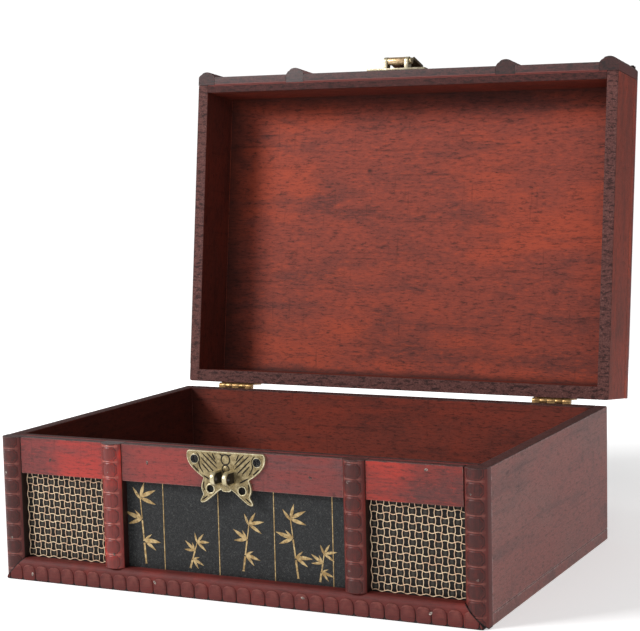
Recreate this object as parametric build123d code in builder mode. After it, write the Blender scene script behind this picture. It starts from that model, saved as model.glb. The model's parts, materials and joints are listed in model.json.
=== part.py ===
"""Wooden keepsake box with a hinged lid and a butterfly latch, made piece by piece.

Millimetres, +Z up. The front faces -Y, +X is on the right of someone who faces it. The origin is the
middle of the footprint on the underside. Lid pieces are drawn with the lid shut and then swung open.
"""
from build123d import *
import os

os.makedirs("parts", exist_ok=True)

# Overall size, from the face of the front rails to the back
BOX_WIDTH = 240.0
BOX_DEPTH = 168.0
BODY_HEIGHT = 67.0
LID_HEIGHT = 34.6
RIM_GAP = 0.4
LID_OPEN_ANGLE = 97.0

# Boards
SIDE_BOARD = 6.0
FRONT_BOARD = 4.2
BACK_BOARD = 6.5
BOTTOM_BOARD = 5.5
LID_TOP_BOARD = 4.5
CORNER_ROUND = 1.2

# Facing of the front and the lid's top: rails and mouldings with thin panels set between them
RAIL_THICKNESS = 4.4
BODY_RAIL_HEIGHT = 17.0
LID_RAIL_HEIGHT = 15.0
PANEL_THICKNESS = 0.8
MOULDING_WIDTH = 10.0
MOULDING_RISE = 2.8
SKIRT_RISE = 2.5
SKIRT_LIP = 0.4
SKIRT_SHOULDER = 6.8
STRIP_WIDTH = 10.4
STRIP_RISE = 3.3
SIDE_BAY_WIDTH = 44.5
TOP_MOULDING_EDGE = 2.0
TOP_MOULDING_RISE = 1.2

# Butt hinges on the outside of the back
HINGE_INSET = 29.5
HINGE_AXIS_OUT = 1.7
HINGE_AXIS_UP = 0.8
HINGE_LEAF_THICKNESS = 0.9
HINGE_LEAF_WIDTH = 8.5
KNUCKLE_RADIUS = 1.4
KNUCKLE_COUNT = 5
KNUCKLE_PITCH = 4.05
KNUCKLE_GAP = 0.15
KNUCKLE_WALL = 0.75
KNUCKLE_CLEARANCE = 0.2
HINGE_SCREW_SPACING = 12.0

# Latch plate in the form of a butterfly, on the body
LATCH_OFFSET = -0.9
LATCH_WIDTH = 39.2
LATCH_SET_DOWN = 0.5
LATCH_THICKNESS = 1.2
LATCH_WING_CORNER = 2.0
LATCH_WAIST_WIDTH = 21.8
LATCH_WAIST_DROP = 12.2
LATCH_LOWER_WING_WIDTH = 24.2
LATCH_TAIL_DROP = 19.1
LATCH_TAIL_RADIUS = 1.2
LATCH_DROP = 23.4
LATCH_LOBE_WIDTH = 4.2
LATCH_LOBE_DROP = 17.5
LATCH_SCREW_SPACING = 31.0
LATCH_SCREW_DROP = 3.8
WING_HOLE_RADIUS = 1.7
WING_HOLE_RIM = 0.7
WING_HOLE_SPACING = 15.8
WING_HOLE_DROP = 16.7
RIM_RISE = 0.3
THORAX_WIDTH = 3.6
THORAX_HEIGHT = 4.0
THORAX_DROP = 3.4
HEAD_RADIUS = 1.6
HEAD_DROP = 7.1
BUTTERFLY_BODY_RISE = 0.6

# Two staple ears on the latch plate, with the eye for a padlock
STAPLE_SPACING = 6.1
STAPLE_THICKNESS = 2.2
STAPLE_HEIGHT = 6.4
STAPLE_REACH = 8.5
STAPLE_DROP = 11.0
PADLOCK_EYE_RADIUS = 1.2
PADLOCK_EYE_WALL = 1.4

# Hasp on the lid: plate with two ears, pin and swinging flap
HASP_WIDTH = 33.0
HASP_HEIGHT = 12.5
HASP_THICKNESS = 1.0
HASP_SHOULDER = 4.5
HASP_SCREW_SPACING = 24.0
HASP_SCREW_UP = 4.4
HASP_AXIS_OUT = 4.9
HASP_AXIS_UP = 2.3
HASP_EAR_THICKNESS = 2.1
HASP_EAR_RADIUS = 2.2
HASP_PIN_RADIUS = 0.9
HASP_PIN_HEAD_RADIUS = 1.7
HASP_PIN_HEAD = 1.3
HASP_PIN_TAIL = 0.9
FLAP_BARREL_RADIUS = 2.1
FLAP_BARREL_LENGTH = 9.5
FLAP_WIDTH = 16.0
FLAP_NOSE_WIDTH = 7.0
FLAP_THICKNESS = 1.5
FLAP_ARCH = 2.2
FLAP_SHOULDER_CLEARANCE = 0.7
FLAP_NOSE_BAR = 3.2
FLAP_LIFT = 0.3
FLAP_REST_TILT = 12.0
FLAP_SLOT_CLEARANCE = 0.45

# Countersunk screws, with sixteen flats in place of round to keep the model light
SCREW_SIDES = 16
SCREW_RADIUS = 0.9
SCREW_LIP = 0.1
HINGE_SCREW_HEAD_RADIUS = 1.7
HINGE_SCREW_LENGTH = 6.0
PLATE_SCREW_HEAD_RADIUS = 2.15
PLATE_SCREW_LENGTH = 4.8
SCREW_FIT = 0.05
PIN_FIT = 0.05
EAR_CLEARANCE = 0.2

# Places that follow from the sizes above
FRONT = -BOX_DEPTH / 2
BACK = BOX_DEPTH / 2
BOARD_FRONT = FRONT + RAIL_THICKNESS
INNER_FRONT = BOARD_FRONT + FRONT_BOARD
INNER_BACK = BACK - BACK_BOARD
HALF_WIDTH = BOX_WIDTH / 2
INNER_HALF_WIDTH = HALF_WIDTH - SIDE_BOARD
FACING_HALF_WIDTH = HALF_WIDTH - MOULDING_WIDTH
STRIP_OUTER = FACING_HALF_WIDTH - SIDE_BAY_WIDTH
STRIP_INNER = STRIP_OUTER - STRIP_WIDTH
LID_BOTTOM = BODY_HEIGHT + RIM_GAP
LID_FRAME_TOP = LID_BOTTOM + LID_HEIGHT
LID_BOARD_TOP = LID_FRAME_TOP - TOP_MOULDING_EDGE
LID_CEILING = LID_BOARD_TOP - LID_TOP_BOARD
BODY_RAIL_BOTTOM = BODY_HEIGHT - BODY_RAIL_HEIGHT
LID_RAIL_TOP = LID_BOTTOM + LID_RAIL_HEIGHT
LID_MOULDING_BOTTOM = LID_FRAME_TOP - MOULDING_WIDTH
HINGE_Y = BACK + HINGE_AXIS_OUT
HINGE_Z = BODY_HEIGHT + HINGE_AXIS_UP
HINGE_OFFSET = HALF_WIDTH - HINGE_INSET
HASP_Y = FRONT - HASP_AXIS_OUT
HASP_Z = LID_BOTTOM + HASP_AXIS_UP
LATCH_TOP = BODY_HEIGHT - LATCH_SET_DOWN
STAPLE_Z = LATCH_TOP - STAPLE_DROP
PADLOCK_EYE_Y = FRONT - STAPLE_REACH + PADLOCK_EYE_WALL + PADLOCK_EYE_RADIUS

lid_hinge = Axis((0, HINGE_Y, HINGE_Z), (1, 0, 0))
hasp_hinge = Axis((LATCH_OFFSET, HASP_Y, HASP_Z), (1, 0, 0))


def save(part, label):
    """Name a finished piece and write it."""
    part.label = label
    export_step(part, f"parts/{label}.step")


def save_on_lid(part, label):
    """Swing a piece that was drawn with the lid shut to the open position, and write it."""
    save(part.rotate(lid_hinge, -LID_OPEN_ANGLE), label)


def front_plane(x, z, out=0.0):
    """Plane facing forward, a given distance in front of the rails, with its y upwards."""
    return Plane(origin=(x, FRONT - out, z), x_dir=(1, 0, 0), z_dir=(0, -1, 0))


def back_plane(x, z, out=0.0):
    """Plane facing backward, a given distance behind the back, with its y upwards."""
    return Plane(origin=(x, BACK + out, z), x_dir=(-1, 0, 0), z_dir=(0, 1, 0))


def board(x_span, y_span, z_span, round_back=False):
    """A plain board between three pairs of limits, its outer back corners rounded if asked."""
    with BuildPart() as piece:
        with BuildSketch(Plane.XY.offset(z_span[0])):
            with Locations((sum(x_span) / 2, sum(y_span) / 2)):
                Rectangle(x_span[1] - x_span[0], y_span[1] - y_span[0])
        extrude(amount=z_span[1] - z_span[0])
        if round_back:
            back_edges = piece.edges().filter_by(Axis.Z).group_by(Axis.Y)[-1]
            corners = [edge for edge in back_edges if abs(edge.center().X) > INNER_HALF_WIDTH]
            fillet(corners, radius=CORNER_ROUND)
    return piece.part


def screw(head_radius, length, clearance=0.0):
    """A countersunk wood screw, its head on the XY plane and its end below, or the hole for it."""
    countersink = head_radius - SCREW_RADIUS
    with BuildPart() as shape:
        with BuildSketch(Plane.XY):
            RegularPolygon(head_radius + clearance, SCREW_SIDES)
        extrude(amount=-SCREW_LIP - countersink)
        chamfer(shape.faces().sort_by(Axis.Z)[0].edges(), length=countersink)
        with BuildSketch(Plane.XY):
            RegularPolygon(SCREW_RADIUS + clearance, SCREW_SIDES)
        extrude(amount=-length - clearance)
    return shape.part


def screws(planes, spacing, head_radius, length):
    """Pairs of screws, their heads flush with the given planes."""
    with BuildPart() as pairs:
        with Locations(*planes):
            with GridLocations(spacing, 0, 2, 1):
                add(screw(head_radius, length))
    return pairs.part


def screw_holes(piece, planes, spacing, head_radius, length):
    """The same piece with holes for pairs of screws whose heads are flush with the given planes."""
    with BuildPart() as bored:
        add(piece)
        with Locations(*planes):
            with GridLocations(spacing, 0, 2, 1):
                add(screw(head_radius, length, SCREW_FIT), mode=Mode.SUBTRACT)
    return bored.part


def half_round(width, edge, rise):
    """Section of a half-round moulding, x across it and y away from the board."""
    with BuildSketch() as section:
        with BuildLine():
            sides = Polyline((0, edge), (0, 0), (width, 0), (width, edge))
            ThreePointArc(sides @ 1, (width / 2, edge + rise), sides @ 0)
        make_face()
    return section.sketch


def skirt_section():
    """Section of the moulding along an edge: an upright face, then a rounded slope to the panels."""
    face = RAIL_THICKNESS + SKIRT_RISE
    lip = RAIL_THICKNESS + SKIRT_LIP
    with BuildSketch() as section:
        with BuildLine():
            outline = Polyline((SKIRT_SHOULDER, face), (0, face), (0, 0), (MOULDING_WIDTH, 0), (MOULDING_WIDTH, lip))
            TangentArc(outline @ 0, outline @ 1, tangent=(1, 0))
        make_face()
    return section.sketch


def moulding(plane, section, length, mitre_start=False, mitre_end=False):
    """A moulding along a plane's x, with y towards the framed panel and z away from the board."""
    across = Plane(origin=plane.origin, x_dir=plane.y_dir, z_dir=plane.x_dir)
    size = section.bounding_box().size
    with BuildPart() as piece:
        with BuildSketch(across):
            add(section)
        extrude(amount=length / 2, both=True)
        for wanted, side in ((mitre_start, -1), (mitre_end, 1)):
            if wanted:
                end = side * length / 2
                with BuildSketch(plane):
                    with BuildLine():
                        Polyline((end, 0), (end, size.X), (end - side * size.X, size.X), (end, 0))
                    make_face()
                extrude(amount=size.Y, mode=Mode.SUBTRACT)
    return piece.part


def upright(x, z_span, side):
    """Plane of an upright moulding on the front, its outer edge at x; side is -1 left, 1 right."""
    return Plane(origin=(x, BOARD_FRONT, sum(z_span) / 2), x_dir=(0, 0, side), z_dir=(0, -1, 0))


# Body: four walls standing on the bottom board
full_width = (-HALF_WIDTH, HALF_WIDTH)
board_depth = (BOARD_FRONT, BACK)
inner_width = (-INNER_HALF_WIDTH, INNER_HALF_WIDTH)
body_wall = (BOTTOM_BOARD, BODY_HEIGHT)

save(board(full_width, board_depth, (0, BOTTOM_BOARD), round_back=True), "bottom_board")
save(board((-HALF_WIDTH, -INNER_HALF_WIDTH), board_depth, body_wall, round_back=True), "body_left_board")
save(board((INNER_HALF_WIDTH, HALF_WIDTH), board_depth, body_wall, round_back=True), "body_right_board")
save(board(inner_width, (BOARD_FRONT, INNER_FRONT), body_wall), "body_front_board")

hinge_screw_out = KNUCKLE_RADIUS + KNUCKLE_CLEARANCE + HINGE_LEAF_WIDTH / 2
body_hinge_planes = [
    back_plane(side * HINGE_OFFSET, HINGE_Z - hinge_screw_out, HINGE_LEAF_THICKNESS) for side in (-1, 1)
]
lid_hinge_planes = [
    back_plane(side * HINGE_OFFSET, HINGE_Z + hinge_screw_out, HINGE_LEAF_THICKNESS) for side in (-1, 1)
]
hinge_screw_sizes = (HINGE_SCREW_SPACING, HINGE_SCREW_HEAD_RADIUS, HINGE_SCREW_LENGTH)
body_back_board = board(inner_width, (INNER_BACK, BACK), body_wall)
save(screw_holes(body_back_board, body_hinge_planes, *hinge_screw_sizes), "body_back_board")

# Front of the body: corner mouldings mitred into the bottom moulding, strips, rails and panels
facing_depth = (FRONT, BOARD_FRONT)
panel_depth = (BOARD_FRONT - PANEL_THICKNESS, BOARD_FRONT)
body_rail = (BODY_RAIL_BOTTOM, BODY_HEIGHT)
body_panel = (MOULDING_WIDTH, BODY_RAIL_BOTTOM)
corner_section = half_round(MOULDING_WIDTH, RAIL_THICKNESS, MOULDING_RISE)
strip_section = half_round(STRIP_WIDTH, RAIL_THICKNESS, STRIP_RISE)
left_bay = (-FACING_HALF_WIDTH, -STRIP_OUTER)
centre_bay = (-STRIP_INNER, STRIP_INNER)
right_bay = (STRIP_OUTER, FACING_HALF_WIDTH)

for side, word in ((-1, "left"), (1, "right")):
    corner_span = (0, BODY_HEIGHT)
    corner_plane = upright(side * HALF_WIDTH, corner_span, side)
    corner_moulding = moulding(
        corner_plane, corner_section, BODY_HEIGHT, mitre_start=side > 0, mitre_end=side < 0
    )
    save(corner_moulding, f"front_{word}_corner_moulding")
    strip_span = (MOULDING_WIDTH, BODY_HEIGHT)
    strip_plane = upright(side * STRIP_OUTER, strip_span, side)
    save(moulding(strip_plane, strip_section, BODY_HEIGHT - MOULDING_WIDTH), f"front_{word}_strip")

bottom_plane = Plane(origin=(0, BOARD_FRONT, 0), x_dir=(1, 0, 0), z_dir=(0, -1, 0))
save(moulding(bottom_plane, skirt_section(), BOX_WIDTH, True, True), "front_bottom_moulding")
save(board(left_bay, facing_depth, body_rail), "front_left_rail")
save(board(right_bay, facing_depth, body_rail), "front_right_rail")
save(board(left_bay, panel_depth, body_panel), "front_left_woven_panel")
save(board(centre_bay, panel_depth, body_panel), "front_centre_panel")
save(board(right_bay, panel_depth, body_panel), "front_right_woven_panel")

latch_screw_planes = [front_plane(LATCH_OFFSET, LATCH_TOP - LATCH_SCREW_DROP, LATCH_THICKNESS)]
latch_screw_sizes = (LATCH_SCREW_SPACING, PLATE_SCREW_HEAD_RADIUS, PLATE_SCREW_LENGTH)
front_centre_rail = board(centre_bay, facing_depth, body_rail)
save(screw_holes(front_centre_rail, latch_screw_planes, *latch_screw_sizes), "front_centre_rail")


# Butterfly latch plate with its two staple ears
def butterfly_outline():
    """Outline of the latch plate, its top edge on y = 0: wings, waist, lower wings, tails and lobe."""
    wing = LATCH_WIDTH / 2
    waist = (LATCH_WAIST_WIDTH / 2, -LATCH_WAIST_DROP)
    lower_wing = (LATCH_LOWER_WING_WIDTH / 2, -(LATCH_WAIST_DROP + LATCH_TAIL_DROP) / 2)
    tail_root = (LATCH_WAIST_WIDTH / 2, -LATCH_TAIL_DROP)
    tail_reach = LATCH_TAIL_RADIUS / 2**0.5
    tail_x = LATCH_LOWER_WING_WIDTH / 2 - tail_reach
    tail_y = LATCH_TAIL_RADIUS - LATCH_DROP
    tail_outer = (tail_x + tail_reach, tail_y + tail_reach)
    tail_tip = (tail_x + tail_reach, tail_y - tail_reach)
    tail_inner = (tail_x - tail_reach, tail_y - tail_reach)
    lobe_side = (LATCH_LOBE_WIDTH / 2, LATCH_LOBE_WIDTH / 4 - LATCH_LOBE_DROP)
    with BuildSketch() as outline:
        with BuildLine():
            Polyline((0, 0), (wing - LATCH_WING_CORNER / 2, 0), (wing, -LATCH_WING_CORNER / 2))
            Line((wing, -LATCH_WING_CORNER / 2), (wing, -LATCH_WING_CORNER))
            TangentArc((wing, -LATCH_WING_CORNER), waist, tangent=(0, -1))
            ThreePointArc(waist, lower_wing, tail_root)
            Line(tail_root, tail_outer)
            ThreePointArc(tail_outer, tail_tip, tail_inner)
            Line(tail_inner, lobe_side)
            TangentArc((0, -LATCH_LOBE_DROP), lobe_side, tangent=(1, 0))
            mirror(about=Plane.YZ)
        make_face()
    return outline.sketch


with BuildPart() as butterfly_latch_plate:
    with BuildSketch(front_plane(LATCH_OFFSET, LATCH_TOP)):
        add(butterfly_outline())
    extrude(amount=LATCH_THICKNESS)
    with BuildSketch(front_plane(LATCH_OFFSET, LATCH_TOP)):
        with Locations((0, -WING_HOLE_DROP)):
            with GridLocations(WING_HOLE_SPACING, 0, 2, 1):
                Circle(WING_HOLE_RADIUS + WING_HOLE_RIM)
    extrude(amount=LATCH_THICKNESS + RIM_RISE)
    with BuildSketch(front_plane(LATCH_OFFSET, LATCH_TOP)):
        with Locations((0, -THORAX_DROP)):
            Ellipse(THORAX_WIDTH / 2, THORAX_HEIGHT / 2)
        with Locations((0, -HEAD_DROP)):
            Circle(HEAD_RADIUS)
    extrude(amount=LATCH_THICKNESS + BUTTERFLY_BODY_RISE)
    for ear_side in (-1, 1):
        ear_plane = Plane(
            origin=(LATCH_OFFSET + ear_side * STAPLE_SPACING / 2, FRONT, STAPLE_Z),
            x_dir=(0, -1, 0),
            z_dir=(1, 0, 0),
        )
        with BuildSketch(ear_plane):
            Rectangle(STAPLE_REACH - STAPLE_HEIGHT / 2, STAPLE_HEIGHT, align=(Align.MIN, Align.CENTER))
            with Locations((STAPLE_REACH - STAPLE_HEIGHT / 2, 0)):
                Circle(STAPLE_HEIGHT / 2)
            with Locations((FRONT - PADLOCK_EYE_Y, 0)):
                Circle(PADLOCK_EYE_RADIUS, mode=Mode.SUBTRACT)
        extrude(amount=STAPLE_THICKNESS / 2, both=True)
    with Locations(front_plane(LATCH_OFFSET, LATCH_TOP - WING_HOLE_DROP, LATCH_THICKNESS + RIM_RISE)):
        with GridLocations(WING_HOLE_SPACING, 0, 2, 1):
            Hole(WING_HOLE_RADIUS, LATCH_THICKNESS + RIM_RISE)
latch_plate = screw_holes(butterfly_latch_plate.part, latch_screw_planes, *latch_screw_sizes)
save(latch_plate, "butterfly_latch_plate")
save(screws(latch_screw_planes, *latch_screw_sizes), "latch_plate_screws")


# Butt hinges: five knuckles on one pin, the odd ones on the body
def hinge_leaf(x, side):
    """One leaf of a hinge; side is -1 for the leaf on the body and 1 for the leaf on the lid."""
    length = KNUCKLE_COUNT * KNUCKLE_PITCH
    neck = KNUCKLE_RADIUS + KNUCKLE_CLEARANCE + HINGE_LEAF_THICKNESS
    first = 0 if side < 0 else 1
    with BuildPart() as leaf:
        with BuildSketch(back_plane(x, HINGE_Z + side * hinge_screw_out)):
            Rectangle(length, HINGE_LEAF_WIDTH)
        extrude(amount=HINGE_LEAF_THICKNESS)
        for knuckle in range(first, KNUCKLE_COUNT, 2):
            knuckle_x = x + (knuckle - (KNUCKLE_COUNT - 1) / 2) * KNUCKLE_PITCH
            with BuildSketch(Plane(origin=(knuckle_x, HINGE_Y, HINGE_Z), x_dir=(0, 1, 0), z_dir=(1, 0, 0))):
                Circle(KNUCKLE_RADIUS)
                with Locations((KNUCKLE_WALL / 2 - KNUCKLE_RADIUS, side * neck / 2)):
                    Rectangle(KNUCKLE_WALL, neck)
                Circle(KNUCKLE_RADIUS - KNUCKLE_WALL, mode=Mode.SUBTRACT)
            extrude(amount=(KNUCKLE_PITCH - KNUCKLE_GAP) / 2, both=True)
    return leaf.part


for side, word in ((-1, "left"), (1, "right")):
    hinge_x = side * HINGE_OFFSET
    body_leaf = screw_holes(hinge_leaf(hinge_x, -1), body_hinge_planes, *hinge_screw_sizes)
    save(body_leaf, f"{word}_hinge_body_leaf")
    lid_leaf = screw_holes(hinge_leaf(hinge_x, 1), lid_hinge_planes, *hinge_screw_sizes)
    save_on_lid(lid_leaf, f"{word}_hinge_lid_leaf")
    with BuildPart() as hinge_pin:
        with BuildSketch(Plane(origin=(hinge_x, HINGE_Y, HINGE_Z), x_dir=(0, 1, 0), z_dir=(1, 0, 0))):
            Circle(KNUCKLE_RADIUS - KNUCKLE_WALL - PIN_FIT)
        extrude(amount=(KNUCKLE_COUNT * KNUCKLE_PITCH - KNUCKLE_GAP) / 2, both=True)
    save(hinge_pin.part, f"{word}_hinge_pin")
save(screws(body_hinge_planes, *hinge_screw_sizes), "hinge_body_screws")
save_on_lid(screws(lid_hinge_planes, *hinge_screw_sizes), "hinge_lid_screws")

# Lid: four walls under the top board
lid_wall = (LID_BOTTOM, LID_CEILING)
save_on_lid(board(full_width, board_depth, (LID_CEILING, LID_BOARD_TOP), round_back=True), "lid_top_board")
save_on_lid(board((-HALF_WIDTH, -INNER_HALF_WIDTH), board_depth, lid_wall, round_back=True), "lid_left_board")
save_on_lid(board((INNER_HALF_WIDTH, HALF_WIDTH), board_depth, lid_wall, round_back=True), "lid_right_board")
save_on_lid(board(inner_width, (BOARD_FRONT, INNER_FRONT), lid_wall), "lid_front_board")
lid_back_board = board(inner_width, (INNER_BACK, BACK), lid_wall)
save_on_lid(screw_holes(lid_back_board, lid_hinge_planes, *hinge_screw_sizes), "lid_back_board")

# Front of the lid, which carries on the lines of the body's front
lid_rail = (LID_BOTTOM, LID_RAIL_TOP)
lid_panel = (LID_RAIL_TOP, LID_MOULDING_BOTTOM)
for side, word in ((-1, "left"), (1, "right")):
    corner_plane = upright(side * HALF_WIDTH, (LID_BOTTOM, LID_FRAME_TOP), side)
    corner_moulding = moulding(
        corner_plane, corner_section, LID_HEIGHT, mitre_start=side < 0, mitre_end=side > 0
    )
    save_on_lid(corner_moulding, f"lid_{word}_corner_moulding")
    strip_plane = upright(side * STRIP_OUTER, (LID_BOTTOM, LID_MOULDING_BOTTOM), side)
    save_on_lid(moulding(strip_plane, strip_section, LID_MOULDING_BOTTOM - LID_BOTTOM), f"lid_{word}_strip")

lid_edge_plane = Plane(origin=(0, BOARD_FRONT, LID_FRAME_TOP), x_dir=(-1, 0, 0), z_dir=(0, -1, 0))
save_on_lid(moulding(lid_edge_plane, skirt_section(), BOX_WIDTH, True, True), "lid_front_top_moulding")
save_on_lid(board(left_bay, facing_depth, lid_rail), "lid_left_rail")
save_on_lid(board(right_bay, facing_depth, lid_rail), "lid_right_rail")
save_on_lid(board(left_bay, panel_depth, lid_panel), "lid_left_woven_panel")
save_on_lid(board(centre_bay, panel_depth, lid_panel), "lid_centre_panel")
save_on_lid(board(right_bay, panel_depth, lid_panel), "lid_right_woven_panel")

hasp_screw_planes = [front_plane(LATCH_OFFSET, LID_BOTTOM + HASP_SCREW_UP, HASP_THICKNESS)]
hasp_screw_sizes = (HASP_SCREW_SPACING, PLATE_SCREW_HEAD_RADIUS, PLATE_SCREW_LENGTH)
lid_centre_rail = board(centre_bay, facing_depth, lid_rail)
save_on_lid(screw_holes(lid_centre_rail, hasp_screw_planes, *hasp_screw_sizes), "lid_centre_rail")

# Top of the lid: a mitred frame with two strips and three panels inside it
top_section = half_round(MOULDING_WIDTH, TOP_MOULDING_EDGE, TOP_MOULDING_RISE)
top_strip_section = half_round(STRIP_WIDTH, TOP_MOULDING_EDGE, TOP_MOULDING_RISE)
top_depth = BACK - BOARD_FRONT
top_centre_y = (BACK + BOARD_FRONT) / 2
panel_y = (BOARD_FRONT + MOULDING_WIDTH, BACK - MOULDING_WIDTH)
top_panel = (LID_BOARD_TOP, LID_BOARD_TOP + PANEL_THICKNESS)
for word, origin, along, length in (
    ("front", (0, BOARD_FRONT, LID_BOARD_TOP), (1, 0, 0), BOX_WIDTH),
    ("back", (0, BACK, LID_BOARD_TOP), (-1, 0, 0), BOX_WIDTH),
    ("left", (-HALF_WIDTH, top_centre_y, LID_BOARD_TOP), (0, -1, 0), top_depth),
    ("right", (HALF_WIDTH, top_centre_y, LID_BOARD_TOP), (0, 1, 0), top_depth),
):
    side_plane = Plane(origin=origin, x_dir=along, z_dir=(0, 0, 1))
    save_on_lid(moulding(side_plane, top_section, length, True, True), f"top_{word}_moulding")
for side, word in ((-1, "left"), (1, "right")):
    strip_plane = Plane(
        origin=(side * STRIP_OUTER, top_centre_y, LID_BOARD_TOP), x_dir=(0, side, 0), z_dir=(0, 0, 1)
    )
    save_on_lid(moulding(strip_plane, top_strip_section, panel_y[1] - panel_y[0]), f"top_{word}_strip")
save_on_lid(board(left_bay, panel_y, top_panel), "top_left_woven_panel")
save_on_lid(board(centre_bay, panel_y, top_panel), "top_centre_panel")
save_on_lid(board(right_bay, panel_y, top_panel), "top_right_woven_panel")

# Hasp on the lid: a plate with two ears, the pin through them and the flap that swings on it
ear_gap = FLAP_BARREL_LENGTH + 2 * EAR_CLEARANCE
across_hasp = Plane(origin=(LATCH_OFFSET, HASP_Y, HASP_Z), x_dir=(0, 1, 0), z_dir=(1, 0, 0))
with BuildPart() as hasp_plate:
    with BuildSketch(front_plane(LATCH_OFFSET, LID_BOTTOM)):
        with BuildLine():
            foot = Line((0, 0), (HASP_WIDTH / 2, 0))
            side_edge = Line(foot @ 1, (HASP_WIDTH / 2, HASP_SHOULDER))
            crown = (HASP_SHOULDER, HASP_HEIGHT)
            TangentArc(crown, side_edge @ 1, tangent=(1, 0))
            Line(crown, (0, HASP_HEIGHT))
            mirror(about=Plane.YZ)
        make_face()
    extrude(amount=HASP_THICKNESS)
    for ear_side in (-1, 1):
        with BuildSketch(across_hasp.offset(ear_side * (ear_gap + HASP_EAR_THICKNESS) / 2)):
            Circle(HASP_EAR_RADIUS)
            Rectangle(HASP_AXIS_OUT, 2 * HASP_EAR_RADIUS, align=(Align.MIN, Align.CENTER))
            Circle(HASP_PIN_RADIUS + PIN_FIT, mode=Mode.SUBTRACT)
        extrude(amount=HASP_EAR_THICKNESS / 2, both=True)
save_on_lid(screw_holes(hasp_plate.part, hasp_screw_planes, *hasp_screw_sizes), "hasp_plate")
save_on_lid(screws(hasp_screw_planes, *hasp_screw_sizes), "hasp_plate_screws")

ear_outer = ear_gap / 2 + HASP_EAR_THICKNESS
with BuildPart() as hasp_pin:
    with BuildSketch(across_hasp.offset(-ear_outer - HASP_PIN_TAIL)):
        Circle(HASP_PIN_RADIUS)
    extrude(amount=2 * ear_outer + HASP_PIN_TAIL + PIN_FIT)
    with BuildSketch(across_hasp.offset(ear_outer + PIN_FIT)):
        Circle(HASP_PIN_HEAD_RADIUS)
    extrude(amount=HASP_PIN_HEAD)
save_on_lid(hasp_pin.part, "hasp_pin")


# The flap, drawn hanging down over the staple ears: an arched plate with a slot, on a rolled barrel
flap_back = LATCH_THICKNESS + FLAP_LIFT
slot_top = STAPLE_Z + STAPLE_HEIGHT / 2 + FLAP_SLOT_CLEARANCE
slot_bottom = STAPLE_Z - STAPLE_HEIGHT / 2 - FLAP_SLOT_CLEARANCE
slot_width = STAPLE_SPACING + STAPLE_THICKNESS + 2 * FLAP_SLOT_CLEARANCE
nose_z = slot_bottom - FLAP_NOSE_BAR
shoulder_z = HASP_Z - HASP_EAR_RADIUS - FLAP_SHOULDER_CLEARANCE
half_flap = FLAP_WIDTH / 2
with BuildPart() as hasp_flap:
    with BuildSketch(Plane(origin=(LATCH_OFFSET, FRONT - flap_back, nose_z), x_dir=(1, 0, 0), z_dir=(0, 0, 1))):
        with BuildLine():
            inner = ThreePointArc((-half_flap, 0), (0, -FLAP_ARCH), (half_flap, 0))
            outer = ThreePointArc(
                (-half_flap, -FLAP_THICKNESS), (0, -FLAP_ARCH - FLAP_THICKNESS), (half_flap, -FLAP_THICKNESS)
            )
            Line(inner @ 0, outer @ 0)
            Line(inner @ 1, outer @ 1)
        make_face()
    extrude(amount=HASP_Z - nose_z)
    with BuildSketch(front_plane(LATCH_OFFSET, HASP_Z)):
        with BuildLine():
            neck = Polyline(
                (0, 0), (FLAP_BARREL_LENGTH / 2, 0), (FLAP_BARREL_LENGTH / 2, shoulder_z - HASP_Z)
            )
            shoulder = Line(neck @ 1, (half_flap, shoulder_z - HASP_Z))
            rail = Line(shoulder @ 1, (half_flap, slot_bottom + FLAP_NOSE_BAR - HASP_Z))
            nose = (FLAP_NOSE_WIDTH / 2, nose_z - HASP_Z)
            TangentArc(rail @ 1, nose, tangent=(0, -1))
            Line(nose, (0, nose_z - HASP_Z))
            mirror(about=Plane.YZ)
        make_face()
        with Locations((0, (slot_top + slot_bottom) / 2 - HASP_Z)):
            Rectangle(slot_width, slot_top - slot_bottom, mode=Mode.SUBTRACT)
    extrude(amount=flap_back + FLAP_ARCH + FLAP_THICKNESS, mode=Mode.INTERSECT)
    with BuildSketch(across_hasp):
        Circle(FLAP_BARREL_RADIUS)
    extrude(amount=FLAP_BARREL_LENGTH / 2, both=True)
    with BuildSketch(across_hasp):
        Circle(HASP_PIN_RADIUS + PIN_FIT)
    extrude(amount=FLAP_BARREL_LENGTH / 2, both=True, mode=Mode.SUBTRACT)
save_on_lid(hasp_flap.part.rotate(hasp_hinge, -180 - FLAP_REST_TILT), "hasp_flap")
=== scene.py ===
"""Looks of the wooden keepsake box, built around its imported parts.

Every new piece is modelled in millimetres with the lid shut, as the parts are drawn, and is then
swung and scaled to its place at rest, in metres.
"""

import json
import logging
import math
from contextlib import contextmanager
from dataclasses import dataclass
from enum import Enum
from typing import Callable, Iterator, Optional, Sequence, Union

import bmesh
import bpy
from bpy.types import Material, NodeSocket, Object
from mathutils import Matrix, Vector

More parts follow.
